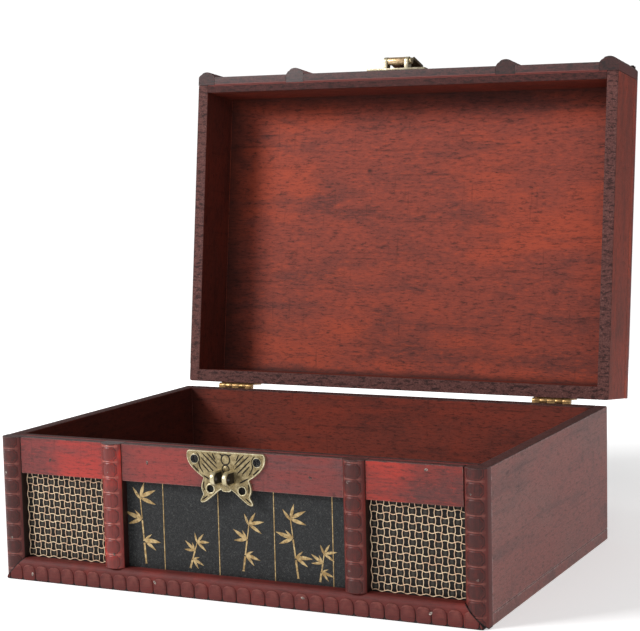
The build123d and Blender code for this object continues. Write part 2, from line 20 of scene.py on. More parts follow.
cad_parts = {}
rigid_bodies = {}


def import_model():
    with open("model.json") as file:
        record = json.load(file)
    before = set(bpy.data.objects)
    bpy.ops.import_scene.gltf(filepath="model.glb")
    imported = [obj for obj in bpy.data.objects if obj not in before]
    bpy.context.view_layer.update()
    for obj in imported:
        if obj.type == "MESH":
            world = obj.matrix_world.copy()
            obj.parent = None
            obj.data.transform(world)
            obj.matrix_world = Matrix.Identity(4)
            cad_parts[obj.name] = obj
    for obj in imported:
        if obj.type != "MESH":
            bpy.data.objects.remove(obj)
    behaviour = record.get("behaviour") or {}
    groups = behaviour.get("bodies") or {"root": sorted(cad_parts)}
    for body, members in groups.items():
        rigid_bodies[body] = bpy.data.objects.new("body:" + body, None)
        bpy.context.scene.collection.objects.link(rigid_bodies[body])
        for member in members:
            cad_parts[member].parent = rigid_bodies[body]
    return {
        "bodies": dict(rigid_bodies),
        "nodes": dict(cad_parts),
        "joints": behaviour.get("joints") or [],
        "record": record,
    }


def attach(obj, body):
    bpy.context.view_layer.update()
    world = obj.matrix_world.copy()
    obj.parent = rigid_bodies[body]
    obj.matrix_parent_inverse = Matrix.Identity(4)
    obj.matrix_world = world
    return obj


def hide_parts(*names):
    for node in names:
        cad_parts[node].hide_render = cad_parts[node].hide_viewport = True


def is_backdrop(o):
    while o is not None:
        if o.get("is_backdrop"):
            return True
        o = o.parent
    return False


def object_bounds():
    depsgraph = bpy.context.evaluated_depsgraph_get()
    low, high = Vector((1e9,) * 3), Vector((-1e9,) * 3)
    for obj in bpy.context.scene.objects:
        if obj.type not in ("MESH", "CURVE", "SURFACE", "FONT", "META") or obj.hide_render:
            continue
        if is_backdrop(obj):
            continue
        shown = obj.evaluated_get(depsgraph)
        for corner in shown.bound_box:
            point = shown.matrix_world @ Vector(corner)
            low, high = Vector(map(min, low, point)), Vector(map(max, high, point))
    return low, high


LOG = logging.getLogger("keepsake_box")

Point = tuple[float, float, float]
Flat = tuple[float, float]
Colour = tuple[int, int, int]
Key = Union[int, str]
Value = Union[None, float, str, tuple, NodeSocket]
Layer = tuple[NodeSocket, float, float, float, Union[Colour, NodeSocket]]
Test = Callable[[Vector, Vector], bool]

MM = 0.001
SIDES = ((-1, "left"), (1, "right"))


@dataclass(frozen=True)
class BoxSizes:
    """The box's own measures, the same as its parts have, with the lid shut."""

    half_width: float = 120.0
    inner_half_width: float = 114.0
    front: float = -84.0
    board_front: float = -79.6
    inner_front: float = -75.4
    inner_back: float = 77.5
    back: float = 84.0
    bottom_board: float = 5.5
    body_height: float = 67.0
    lid_bottom: float = 67.4
    lid_ceiling: float = 95.5
    lid_board_top: float = 100.0
    lid_frame_top: float = 102.0
    moulding_width: float = 10.0
    moulding_rise: float = 2.8
    strip_width: float = 10.4
    strip_rise: float = 3.3
    rail_thickness: float = 4.4
    panel_thickness: float = 0.8
    body_rail_bottom: float = 50.0
    lid_rail_top: float = 82.4
    facing_half_width: float = 110.0
    strip_outer: float = 65.5
    strip_inner: float = 55.1
    top_edge: float = 2.0
    top_rise: float = 1.2
    hinge_y: float = 85.7
    hinge_z: float = 67.8
    hinge_offset: float = 90.5
    hasp_y: float = -88.9
    hasp_z: float = 69.7
    barrel_radius: float = 2.1
    latch_x: float = -0.9
    lid_open: float = 97.0
    flap_turned: float = 192.0

    @property
    def panel_front(self) -> float:
        """Front face of the thin panels on the front."""
        return self.board_front - self.panel_thickness

    @property
    def lid_moulding_bottom(self) -> float:
        """Lower edge of the moulding along the lid's front."""
        return self.lid_frame_top - self.moulding_width

    @property
    def corner_x(self) -> float:
        """Middle line of the right corner moulding."""
        return self.half_width - self.moulding_width / 2

    @property
    def strip_x(self) -> float:
        """Middle line of the right strip."""
        return self.strip_outer - self.strip_width / 2


SIZES = BoxSizes()


class Carrier(Enum):
    """The moving part of the box that a piece goes with."""

    BODY = "body"
    LID = "lid"
    HASP = "hasp"

    def swing(self) -> Matrix:
        """Turn from the shut box to the photographed one, in millimetres."""
        if self is Carrier.BODY:
            return Matrix.Identity(4)
        lid = turn_about((0, SIZES.hinge_y, SIZES.hinge_z), -SIZES.lid_open)
        if self is Carrier.LID:
            return lid
        return lid @ turn_about((0, SIZES.hasp_y, SIZES.hasp_z), -SIZES.flap_turned)


class Slot(Enum):
    """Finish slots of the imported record."""

    STAINED = "stained_wood"
    CARVED = "carved_wood"
    MESH = "woven_mesh"
    LEATHER = "black_leatherette"
    BRONZE = "antique_bronze"
    BRASS = "brass"
    STEEL = "dark_steel"


class Grain(Enum):
    """Direction of the wood's grain on a shut box."""

    ACROSS = 0
    DEEP = 1
    UPRIGHT = 2


def turn_about(point: Point, degrees: float) -> Matrix:
    """Turn about a line along x through a point, right-handed."""
    centre = Matrix.Translation(point)
    return centre @ Matrix.Rotation(math.radians(degrees), 4, "X") @ centre.inverted()


def axes(x: Point, y: Point, z: Point, origin: Point) -> Matrix:
    """The move that takes a piece's own x, y, z and origin to these."""
    return Matrix((*zip(x, y, z, origin), (0, 0, 0, 1)))


def facing_front(x: float, y: float, z: float) -> Matrix:
    """The move that stands a piece up at a point, so that its own z faces the front."""
    return axes((1, 0, 0), (0, 0, 1), (0, -1, 0), (x, y, z))


def turned(degrees: float) -> Matrix:
    """A turn about z."""
    return Matrix.Rotation(math.radians(degrees), 4, "Z")


def linear(colour: Colour) -> tuple[float, ...]:
    """Screen colour, 0 to 255, as the linear colour that a node takes."""

    def channel(value: int) -> float:
        """One channel, made linear."""
        share = value / 255
        return share / 12.92 if share <= 0.04045 else ((share + 0.055) / 1.055) ** 2.4

    return (*(channel(value) for value in colour), 1.0)


class Graph:
    """A material's nodes, wired by short calls. Its places are millimetres on the shut box."""

    def __init__(self, name: str, carrier: Carrier) -> None:
        """Start an empty material whose patterns follow the shut box.

        Args:
            name: the material's name.
            carrier: what its pieces ride on.
        """
        self.material = bpy.data.materials.new(name)
        self.material.use_nodes = True
        self.tree = self.material.node_tree
        self.tree.nodes.clear()
        self.output = self.tree.nodes.new("ShaderNodeOutputMaterial")
        back = carrier.swing().inverted()
        self.place = self.node("Mapping", {
            "Vector": self.node("TexCoord", {}, "Object"), "Scale": (1 / MM,) * 3,
            "Rotation": back.to_euler(), "Location": back.to_translation(),
        })
        self.axes = tuple(self.node("SeparateXYZ", {0: self.place}).node.outputs)

    def node(
        self, kind: str, inputs: dict[Key, Value], out: Key = 0, **settings: str
    ) -> NodeSocket:
        """Add a node and feed it.

        Args:
            kind: its type, without the ShaderNode before it.
            inputs: values or sockets for its inputs. None leaves one as it is.
            out: the output that is asked for.
            settings: its own settings.

        Returns:
            That output.
        """
        node = self.tree.nodes.new(f"ShaderNode{kind}")
        for name, value in settings.items():
            setattr(node, name, value)
        for key, value in inputs.items():
            if isinstance(value, NodeSocket):
                self.tree.links.new(value, node.inputs[key])
            elif value is not None:
                node.inputs[key].default_value = value
        return node.outputs[out]

    def math(self, kind: str, *values: Value) -> NodeSocket:
        """A Math node with its operation and its values."""
        return self.node("Math", dict(enumerate(values)), operation=kind)

    def apart(self, first: Value, second: Value) -> NodeSocket:
        """How far two values are apart."""
        return self.math("ABSOLUTE", self.math("SUBTRACT", first, second))

    def step(
        self, value: Value, low: float, high: float, start: float = 0.0, end: float = 1.0
    ) -> NodeSocket:
        """A smooth step from start to end while the value goes from low to high."""
        inputs = dict(enumerate((value, low, high, start, end)))
        return self.node("MapRange", inputs, interpolation_type="SMOOTHSTEP")

    def drawn(self, grain: Grain, along: float, across: float = 1.0) -> NodeSocket:
        """The place, scaled along a grain and across it, for drawn-out patterns."""
        scale = [across] * 3
        scale[grain.value] = along
        return self.node("Mapping", {"Vector": self.place, "Scale": tuple(scale)})

    def noise(
        self, scale: float, detail: float, rough: float = 0.5, vector: Optional[NodeSocket] = None,
        warp: float = 0.0,
    ) -> NodeSocket:
        """Noise, 0 to 1.

        Args:
            scale: repeats per millimetre.
            detail: octaves of finer noise.
            rough: weight of the finer noise.
            vector: where it is read, if not at the plain place.
            warp: how much it is distorted.

        Returns:
            The noise's socket.
        """
        return self.node("TexNoise", {
            "Vector": vector or self.place, "Scale": scale, "Detail": detail, "Roughness": rough,
            "Distortion": warp,
        })

    def fray(self, distance: NodeSocket, amount: float, *noise: float) -> NodeSocket:
        """A distance made ragged by an amount of noise."""
        return self.math("MULTIPLY_ADD", self.noise(*noise), amount, distance)

    def cells(self, scale: float, vector: Optional[NodeSocket] = None) -> NodeSocket:
        """Distance to the nearest of many scattered points, for pores and pebbles."""
        return self.node("TexVoronoi", {"Vector": vector or self.place, "Scale": scale}, "Distance")

    def attribute(self, name: str) -> NodeSocket:
        """A number that the piece's own mesh carries."""
        return self.node("Attribute", {}, "Fac", attribute_name=name)

    def mix(
        self, share: Value, first: Union[Colour, NodeSocket], second: Union[Colour, NodeSocket]
    ) -> NodeSocket:
        """Two colours mixed, with some share of the second."""
        tones = [linear(tone) if isinstance(tone, tuple) else tone for tone in (first, second)]
        return self.node("Mix", {0: share, 6: tones[0], 7: tones[1]}, 2, data_type="RGBA")

    def layers(self, colour: Union[Colour, NodeSocket], *rows: Layer) -> NodeSocket:
        """Lay tones over a colour, one after another.

        Args:
            colour: the colour below.
            rows: a pattern, its value where the tone starts, its value where the tone is full,
                the tone's full share and the tone, for each.

        Returns:
            The colour's socket.
        """
        for pattern, start, full, share, tone in rows:
            colour = self.mix(self.step(pattern, start, full, 0.0, share), colour, tone)
        return colour

    def ramp(self, share: NodeSocket, *stops: tuple[float, Colour]) -> NodeSocket:
        """Colours at places along a share from 0 to 1."""
        socket = self.node("ValToRGB", {0: share})
        elements = socket.node.color_ramp.elements
        while len(elements) < len(stops):
            elements.new(0.5)
        for element, (place, colour) in zip(elements, stops):
            element.position = place
            element.color = linear(colour)
        return socket

    def relief(self, *rows: tuple[NodeSocket, float, float]) -> NodeSocket:
        """Relief on the surface.

        Args:
            rows: a pattern, its height in millimetres and its strength, for each. The first one
                lies lowest.

        Returns:
            The normal's socket.
        """
        normal = None
        for height, depth, strength in rows:
            normal = self.node("Bump", {
                "Distance": depth * MM, "Strength": strength, "Height": height, "Normal": normal,
            })
        return normal

    def edge_distance(self, low: Point, high: Point) -> NodeSocket:
        """Distance in millimetres from the nearest edge of a block between two corners."""
        x, y, z = (
            self.math("MINIMUM", self.math("SUBTRACT", axis, a), self.math("SUBTRACT", b, axis))
            for axis, a, b in zip(self.axes, low, high)
        )
        least, most = self.math("MINIMUM", x, y), self.math("MAXIMUM", x, y)
        return self.math("MAXIMUM", least, self.math("MINIMUM", most, z))

    def within(self, low: Point, high: Point) -> NodeSocket:
        """One inside a block between two corners, nought outside it."""
        share: Value = 1.0
        for axis, a, b in zip(self.axes, low, high):
            share = self.math("MULTIPLY", share, self.math("GREATER_THAN", axis, a))
            share = self.math("MULTIPLY", share, self.math("LESS_THAN", axis, b))
        return share

    def surface(
        self, colour: NodeSocket, rough: Value, normal: Optional[NodeSocket] = None, **others: Value
    ) -> Material:
        """Finish the material with one glossy shader.

        Args:
            colour: its colour.
            rough: its roughness.
            normal: its relief.
            others: the shader's other inputs, by name with _ for spaces.

        Returns:
            The finished material.
        """
        inputs = {"Base Color": colour, "Roughness": rough, "Normal": normal}
        inputs.update((name.replace("_", " "), value) for name, value in others.items())
        self.tree.links.new(self.node("BsdfPrincipled", inputs), self.output.inputs[0])
        return self.material


@dataclass(frozen=True)
class Rim:
    """Rubbed, speckled wood where the stain has worn off a rim face."""

    height: float
    seam: Optional[float] = None
    dark: Colour = (30, 18, 18)
    base: Colour = (76, 50, 48)
    pale: Colour = (128, 98, 94)
    stain_line: Colour = (158, 62, 58)

    def lay(self, graph: Graph, colour: NodeSocket) -> NodeSocket:
        """A board's colour with the rim face laid over it."""
        off = graph.fray(graph.apart(graph.axes[2], self.height), 0.9, 0.8, 4.0, 0.7)
        speckles = graph.noise(1.5, 5.0, 0.85, graph.drawn(Grain.UPRIGHT, 0.4))
        bare = graph.ramp(
            speckles, (0.36, self.dark), (0.48, self.base), (0.56, self.base), (0.67, self.pale)
        )
        pits = graph.noise(0.7, 3.0, 0.8, graph.drawn(Grain.ACROSS, 0.35))
        bare = graph.layers(bare, (pits, 0.5, 0.6, 0.9, self.dark))
        if self.seam is not None:
            beside = graph.fray(graph.apart(graph.axes[1], self.seam), 0.6, 0.4, 3.0)
            bare = graph.layers(bare, (beside, 1.0, 0.7, 0.7, self.stain_line))
        return graph.layers(colour, (off, 0.95, 0.62, 0.95, bare))


@dataclass(frozen=True)
class InnerStainAndShade:
    """Darker, unlacquered stain inside the box, with painted shade: an even darkening, partly that stain and partly
    painted shade, and painted shade that is darkest along its corners, where the walls keep off the light.
    """

    share: float = 0.0
    left: float = 0.0
    right: float = 0.0
    front: float = 0.0
    back: float = 0.0
    tone: Colour = (30, 11, 9)
    slack: float = 0.03
    corner_shade_share: float = 0.82

    def lay(self, graph: Graph, colour: NodeSocket) -> NodeSocket:
        """A board's colour with its inner face darkened by the stain and by painted shade."""
        s, slack = SIZES, self.slack
        cavity = graph.within(
            (-s.inner_half_width - slack, s.inner_front - slack, s.bottom_board - slack),
            (s.inner_half_width + slack, s.inner_back + slack, s.lid_ceiling + slack),
        )
        x, y = graph.axes[0], graph.axes[1]
        near: Value = 1.5
        for kind, first, second, reach in (
            ("ADD", x, s.inner_half_width, self.left),
            ("SUBTRACT", s.inner_half_width, x, self.right),
            ("SUBTRACT", y, s.inner_front, self.front),
            ("SUBTRACT", s.inner_back, y, self.back),
        ):
            if reach:
                distance = graph.math("DIVIDE", graph.math(kind, first, second), reach)
                near = graph.math("MINIMUM", near, distance)
        ragged = graph.fray(near, 0.5, 0.11, 3.0, 0.6)
        # painted shade, deepest near the edges that have a reach, over the even share of darker stain and painted shade
        dark = graph.step(ragged, 0.15, 1.25, max(self.corner_shade_share, self.share), self.share)
        return graph.mix(graph.math("MULTIPLY", dark, cavity), colour, self.tone)


@dataclass(frozen=True)
class StainedWood:
    """Mahogany-red stained wood under a thin satin lacquer, rubbed pale along its edges."""

    base: Colour = (134, 58, 44)
    glow: Colour = (172, 68, 40)
    shade: Colour = (86, 45, 41)
    deep: Colour = (42, 17, 14)
    worn: Colour = (120, 92, 84)
    glow_share: float = 0.6
    speckle: float = 0.4
    wear: float = 0.8
    rough: float = 0.5
    gloss: float = 0.35
    lacquer: float = 0.1
    warm: Flat = (0.0, 0.0)

    def make(self, board: "Board") -> Material:
        """The finish for one board, with its rim and its inner stain and painted shade."""
        graph = Graph(f"{board.node}_stain", board.carrier)

        def grained(
            scale: float, detail: float, rough: float, along: float, warp: float = 0.0,
            across: float = 1.0,
        ) -> NodeSocket:
            """Noise drawn out along the grain."""
            return graph.noise(scale, detail, rough, graph.drawn(board.grain, along, across), warp)

        dashes = grained(1.25, 5.0, 0.85, 0.2)
        flecks = grained(0.75, 3.0, 0.7, 0.3, 0.3)
        lines = grained(0.5, 3.0, 0.6, 0.03, 0.2)
        streaks = grained(0.11, 3.0, 0.6, 0.12, 0.6)
        clouds = grained(0.028, 3.0, 0.55, 0.5, 0.5)
        blots = grained(0.06, 4.0, 0.6, 0.5, 0.4)
        crossed = grained(0.4, 3.0, 0.6, 1.0, 0.0, 0.08)
        specks = graph.noise(2.0, 3.0, 0.8)
        knots = graph.cells(0.016, graph.drawn(board.grain, 0.8))
        wear = self.wear
        edge = graph.fray(graph.edge_distance(board.low, board.high), 2.6 * wear, 0.5, 4.0, 0.75)
        colour = graph.layers(
            self.base,
            (clouds, 0.44, 0.64, self.glow_share, self.glow),
            (blots, 0.48, 0.72, 0.6, self.shade),
            (streaks, 0.5, 0.7, 0.5, self.shade),
        )
        middle, reach = self.warm
        if reach:
            spot = graph.step(graph.apart(graph.axes[0], middle), reach, 0.3 * reach)
            spot = graph.math("MULTIPLY", spot, graph.step(streaks, 0.65, 0.35, 0.3, 0.95))
            colour = graph.mix(spot, colour, self.glow)
        colour = graph.layers(
            colour,
            (dashes, 0.47, 0.3, 0.6, self.glow),
            (flecks, 0.46, 0.3, 0.45, self.glow),
            (flecks, 0.53, 0.7, 0.6, self.deep),
            (lines, 0.58, 0.72, 0.4, self.deep),
            (crossed, 0.6, 0.75, 0.3, self.deep),
            (dashes, 0.5, 0.7, 0.9, self.deep),
            (knots, 0.03, 0.008, 0.85, self.deep),
            (specks, 0.54, 0.72, self.speckle, self.worn),
            (edge, 1.9 * wear, 1.2 * wear, 0.7, self.worn),
        )
        for extra in (board.inside, board.rim):
            if extra is not None:
                colour = extra.lay(graph, colour)
        return graph.surface(
            colour,
            graph.step(specks, 0.25, 0.85, self.rough - 0.08, self.rough + 0.14),
            graph.relief((specks, 0.05, 0.6), (dashes, 0.09, 0.8)),
            Specular_IOR_Level=self.gloss, Coat_Weight=self.lacquer, Coat_Roughness=0.35,
        )


@dataclass(frozen=True)
class CarvedWood:
    """The same stained wood on carved mouldings: dull cells, painted shade in the cuts and on shaded flanks, and pale
    ridges, partly rubbed and partly painted highlight.
    """

    base: Colour = (112, 42, 38)
    glow: Colour = (176, 46, 32)
    cell: Colour = (86, 36, 33)
    deep: Colour = (26, 9, 8)
    crest: Colour = (170, 104, 94)
    glow_share: float = 0.6
    rough: float = 0.42
    lacquer: float = 0.2

    def make(
        self, name: str, carrier: Carrier, grain: Grain, rim: Optional[Rim], mitre: Optional[float]
    ) -> Material:
        """The finish for one moulding.

        Args:
            name: the material's name.
            carrier: what the moulding rides on.
            grain: direction of its grain.
            rim: its rubbed rim face, if it has one.
            mitre: height of the frame's outer corner, if a dark mitre joint shows there.

        Returns:
            The material.
        """
        graph = Graph(name, carrier)
        fibres = graph.noise(1.7, 4.0, 0.65, graph.drawn(grain, 0.12))
        patches = graph.noise(0.05, 3.0, 0.6)
        smudges = graph.noise(0.3, 4.0, 0.7)
        specks = graph.noise(2.0, 3.0, 0.75)
        colour = graph.layers(self.base, (patches, 0.46, 0.66, self.glow_share, self.glow))
        dull = graph.step(smudges, 0.3, 0.6, 0.45, 0.85)
        colour = graph.mix(graph.math("MULTIPLY", graph.attribute("pad"), dull), colour, self.cell)
        # painted shade: the cut number darkens the grooves, the faces between the tongues and the shaded flanks
        colour = graph.layers(
            colour,
            (fibres, 0.42, 0.75, 0.4, self.deep),
            (graph.attribute("cut"), 0.1, 0.95, 0.96, self.deep),
        )
        # pale ridges: partly rubbed wear and partly painted highlight
        bright = graph.step(smudges, 0.34, 0.6, 0.2, 0.85)
        rubbed = graph.math("MULTIPLY", graph.attribute("crest"), bright)
        colour = graph.mix(rubbed, colour, self.crest)
        colour = graph.layers(colour, (specks, 0.6, 0.8, 0.25, self.crest))
        if mitre is not None:
            run = graph.math("SUBTRACT", SIZES.half_width, graph.math("ABSOLUTE", graph.axes[0]))
            gap = graph.apart(graph.apart(graph.axes[2], mitre), run)
            colour = graph.layers(colour, (gap, 0.6, 0.2, 0.92, self.deep))
        if rim is not None:
            colour = rim.lay(graph, colour)
        return graph.surface(
            colour,
            graph.step(specks, 0.25, 0.85, self.rough - 0.08, self.rough + 0.16),
            graph.relief((specks, 0.06, 0.6), (fibres, 0.07, 0.7)),
            Specular_IOR_Level=0.3, Coat_Weight=self.lacquer, Coat_Roughness=0.3,
        )


@dataclass(frozen=True)
class MeshBacking:
    """Black cloth that swells a little through the wide cells of the wire mesh, by its bump. Its colour has painted
    light on the cells' middles, most on the wide cells, and painted shadow along the wires.
    """

    gap: Colour = (8, 7, 6)
    narrow: Colour = (24, 20, 18)
    wide: Colour = (62, 58, 52)

    def make(self, name: str, carrier: Carrier, weave: "Weave", along: int) -> Material:
        """The finish behind one panel of mesh.

        Args:
            name: the material's name.
            carrier: what the panel rides on.
            weave: the mesh in front of it.
            along: axis along the mesh's columns.

        Returns:
            The material.
        """
        graph = Graph(name, carrier)
        waves = []
        for axis, start, pitch in zip((0, along), weave.start, (weave.column, weave.row)):
            run = graph.math("SUBTRACT", graph.axes[axis], start)
            waves.append(graph.math("SINE", graph.math("MULTIPLY", run, math.pi / pitch)))
        cell = graph.math("MULTIPLY", *waves)
        threads = graph.noise(3.2, 3.0, 0.7)
        # painted light: lighter in the middles of the wide cells and less in the narrow ones; painted shadow along the
        # wires
        colour = graph.layers(
            self.gap,
            (cell, 0.3, 0.95, 1.0, self.wide),
            (cell, -0.3, -0.95, 1.0, self.narrow),
            (threads, 0.3, 0.75, 0.6, self.gap),
        )
        normal = graph.relief((threads, 0.12, 0.7), (graph.math("ABSOLUTE", cell), 0.5, 0.8))
        return graph.surface(colour, 0.72, normal, Specular_IOR_Level=0.25)


@dataclass(frozen=True)
class Wire:
    """Thin cream-pink coated wire."""

    pale: Colour = (236, 212, 178)
    pink: Colour = (216, 180, 150)
    grime: Colour = (120, 92, 70)

    def make(self, name: str, carrier: Carrier) -> Material:
        """The finish of one mesh; takes its name and what it rides on."""
        graph = Graph(name, carrier)
        tone = graph.noise(0.35, 3.0, 0.7)
        dirt = graph.noise(1.7, 3.0, 0.7)
        colour = graph.layers(
            self.pale, (tone, 0.35, 0.65, 1.0, self.pink), (dirt, 0.55, 0.85, 0.5, self.grime)
        )
        rough = graph.step(dirt, 0.2, 0.8, 0.34, 0.52)
        return graph.surface(colour, rough, graph.relief((dirt, 0.03, 0.5)), Metallic=0.25)


@dataclass(frozen=True)
class Leatherette:
    """Black leatherette with a fine pebbled grain."""

    deep: Colour = (8, 9, 10)
    base: Colour = (34, 36, 38)
    speck: Colour = (98, 98, 95)

    def make(self, name: str, carrier: Carrier) -> Material:
        """The finish of one panel; takes its name and what it rides on."""
        graph = Graph(name, carrier)
        pebbles = graph.cells(2.3)
        grains = graph.noise(3.4, 3.0, 0.75)
        blotches = graph.noise(1.2, 4.0, 0.8)
        colour = graph.layers(
            self.base,
            (pebbles, 0.25, 0.7, 0.8, self.deep),
            (blotches, 0.48, 0.36, 0.7, self.deep),
            (blotches, 0.54, 0.68, 0.4, self.speck),
            (grains, 0.56, 0.74, 0.6, self.speck),
        )
        normal = graph.relief((grains, 0.08, 0.6), (pebbles, -0.18, 0.7))
        rough = graph.step(grains, 0.3, 0.7, 0.5, 0.68)
        return graph.surface(colour, rough, normal, Specular_IOR_Level=0.3)


@dataclass(frozen=True)
class Gilding:
    """Gold paint, thin and a little broken, over the leatherette's grain."""

    gold: Colour = (150, 122, 76)
    pale: Colour = (192, 166, 118)
    bare: Colour = (46, 38, 30)

    def make(self, name: str, carrier: Carrier) -> Material:
        """The finish of gold ornament; takes its name and what it rides on."""
        graph = Graph(name, carrier)
        grains = graph.noise(2.4, 4.0, 0.75)
        colour = graph.layers(
            self.gold,
            (graph.noise(0.5, 2.0, 0.6), 0.35, 0.65, 1.0, self.pale),
            (grains, 0.55, 0.72, 0.75, self.bare),
            (graph.noise(1.1, 4.0, 0.75), 0.54, 0.66, 0.7, self.bare),
        )
        rough = graph.step(grains, 0.3, 0.7, 0.42, 0.6)
        return graph.surface(colour, rough, graph.relief((grains, 0.1, 0.7)), Metallic=0.35)


@dataclass(frozen=True)
class CastMetal:
    """Metal with patches of dark patina."""

    metal: Colour
    light: Colour
    patina: Colour
    rough: float
    share: float
    metallic: float = 0.85

    def make(self, name: str, carrier: Carrier) -> Material:
        """The finish of one metal piece; takes its name and what it rides on."""
        graph = Graph(name, carrier)
        clouds = graph.noise(0.35, 4.0, 0.65)
        grains = graph.noise(2.2, 4.0, 0.75)
        smudges = graph.noise(0.9, 4.0, 0.8, warp=0.3)
        colour = graph.layers(
            self.metal,
            (clouds, 0.4, 0.7, 1.0, self.light),
            (grains, 0.5, 0.74, self.share, self.patina),
            (smudges, 0.5, 0.66, 0.8 * self.share, self.patina),
        )
        rough = graph.step(grains, 0.3, 0.75, self.rough - 0.08, self.rough + 0.2)
        normal = graph.relief((clouds, 0.1, 0.3), (grains, 0.05, 0.6))
        return graph.surface(colour, rough, normal, Metallic=self.metallic)


class Metal(Enum):
    """The fittings' metals."""

    BRONZE = CastMetal((140, 124, 90), (180, 164, 126), (50, 40, 29), 0.4, 0.75)
    BRIGHT = CastMetal((194, 182, 146), (232, 222, 192), (100, 86, 60), 0.34, 0.45)
    ENGRAVED = CastMetal((34, 27, 19), (52, 42, 29), (18, 15, 11), 0.6, 0.5, 0.3)
    # near-black that paints the shade behind the latch's wing holes
    SHADOW_BLACK = CastMetal((7, 6, 5), (12, 10, 9), (3, 3, 3), 0.85, 0.5, 0.0)
    PALE = CastMetal((150, 140, 118), (194, 184, 158), (70, 60, 46), 0.4, 0.6)
    BARREL = CastMetal((192, 162, 122), (228, 200, 160), (90, 70, 48), 0.36, 0.5)
    # a darker copy of the bronze: painted shade for the hasp's flap, which hangs in shade
    DARK = CastMetal((84, 74, 56), (122, 108, 82), (26, 22, 17), 0.42, 0.7, 0.7)
    BRASS = CastMetal((150, 116, 74), (196, 160, 108), (58, 42, 26), 0.36, 0.6)
    BRIGHT_BRASS = CastMetal((214, 176, 122), (240, 210, 158), (110, 78, 44), 0.3, 0.45)
    STEEL = CastMetal((38, 38, 37), (68, 68, 66), (15, 14, 13), 0.38, 0.5)
    # near-black lining of the screws' cross slots: painted shade in the recesses
    SCREW_SLOT = CastMetal((6, 5, 5), (10, 9, 9), (3, 3, 3), 0.7, 0.5, 0.0)
    PIN = CastMetal((70, 52, 48), (190, 176, 166), (34, 22, 20), 0.4, 0.8, 0.5)

    def make(self, name: str, carrier: Carrier) -> Material:
        """The finish of one metal piece; takes its name and what it rides on."""
        return self.value.make(name, carrier)


@contextmanager
def editing(piece: Object, kind: str = "FACE") -> Iterator[None]:
    """Edit one piece with nothing selected at first, picking by VERT, EDGE or FACE."""
    Bench.grip(piece)
    bpy.ops.object.mode_set(mode="EDIT")
    bpy.ops.mesh.select_mode(type=kind)
    bpy.ops.mesh.select_all(action="DESELECT")
    yield
    bpy.ops.object.mode_set(mode="OBJECT")


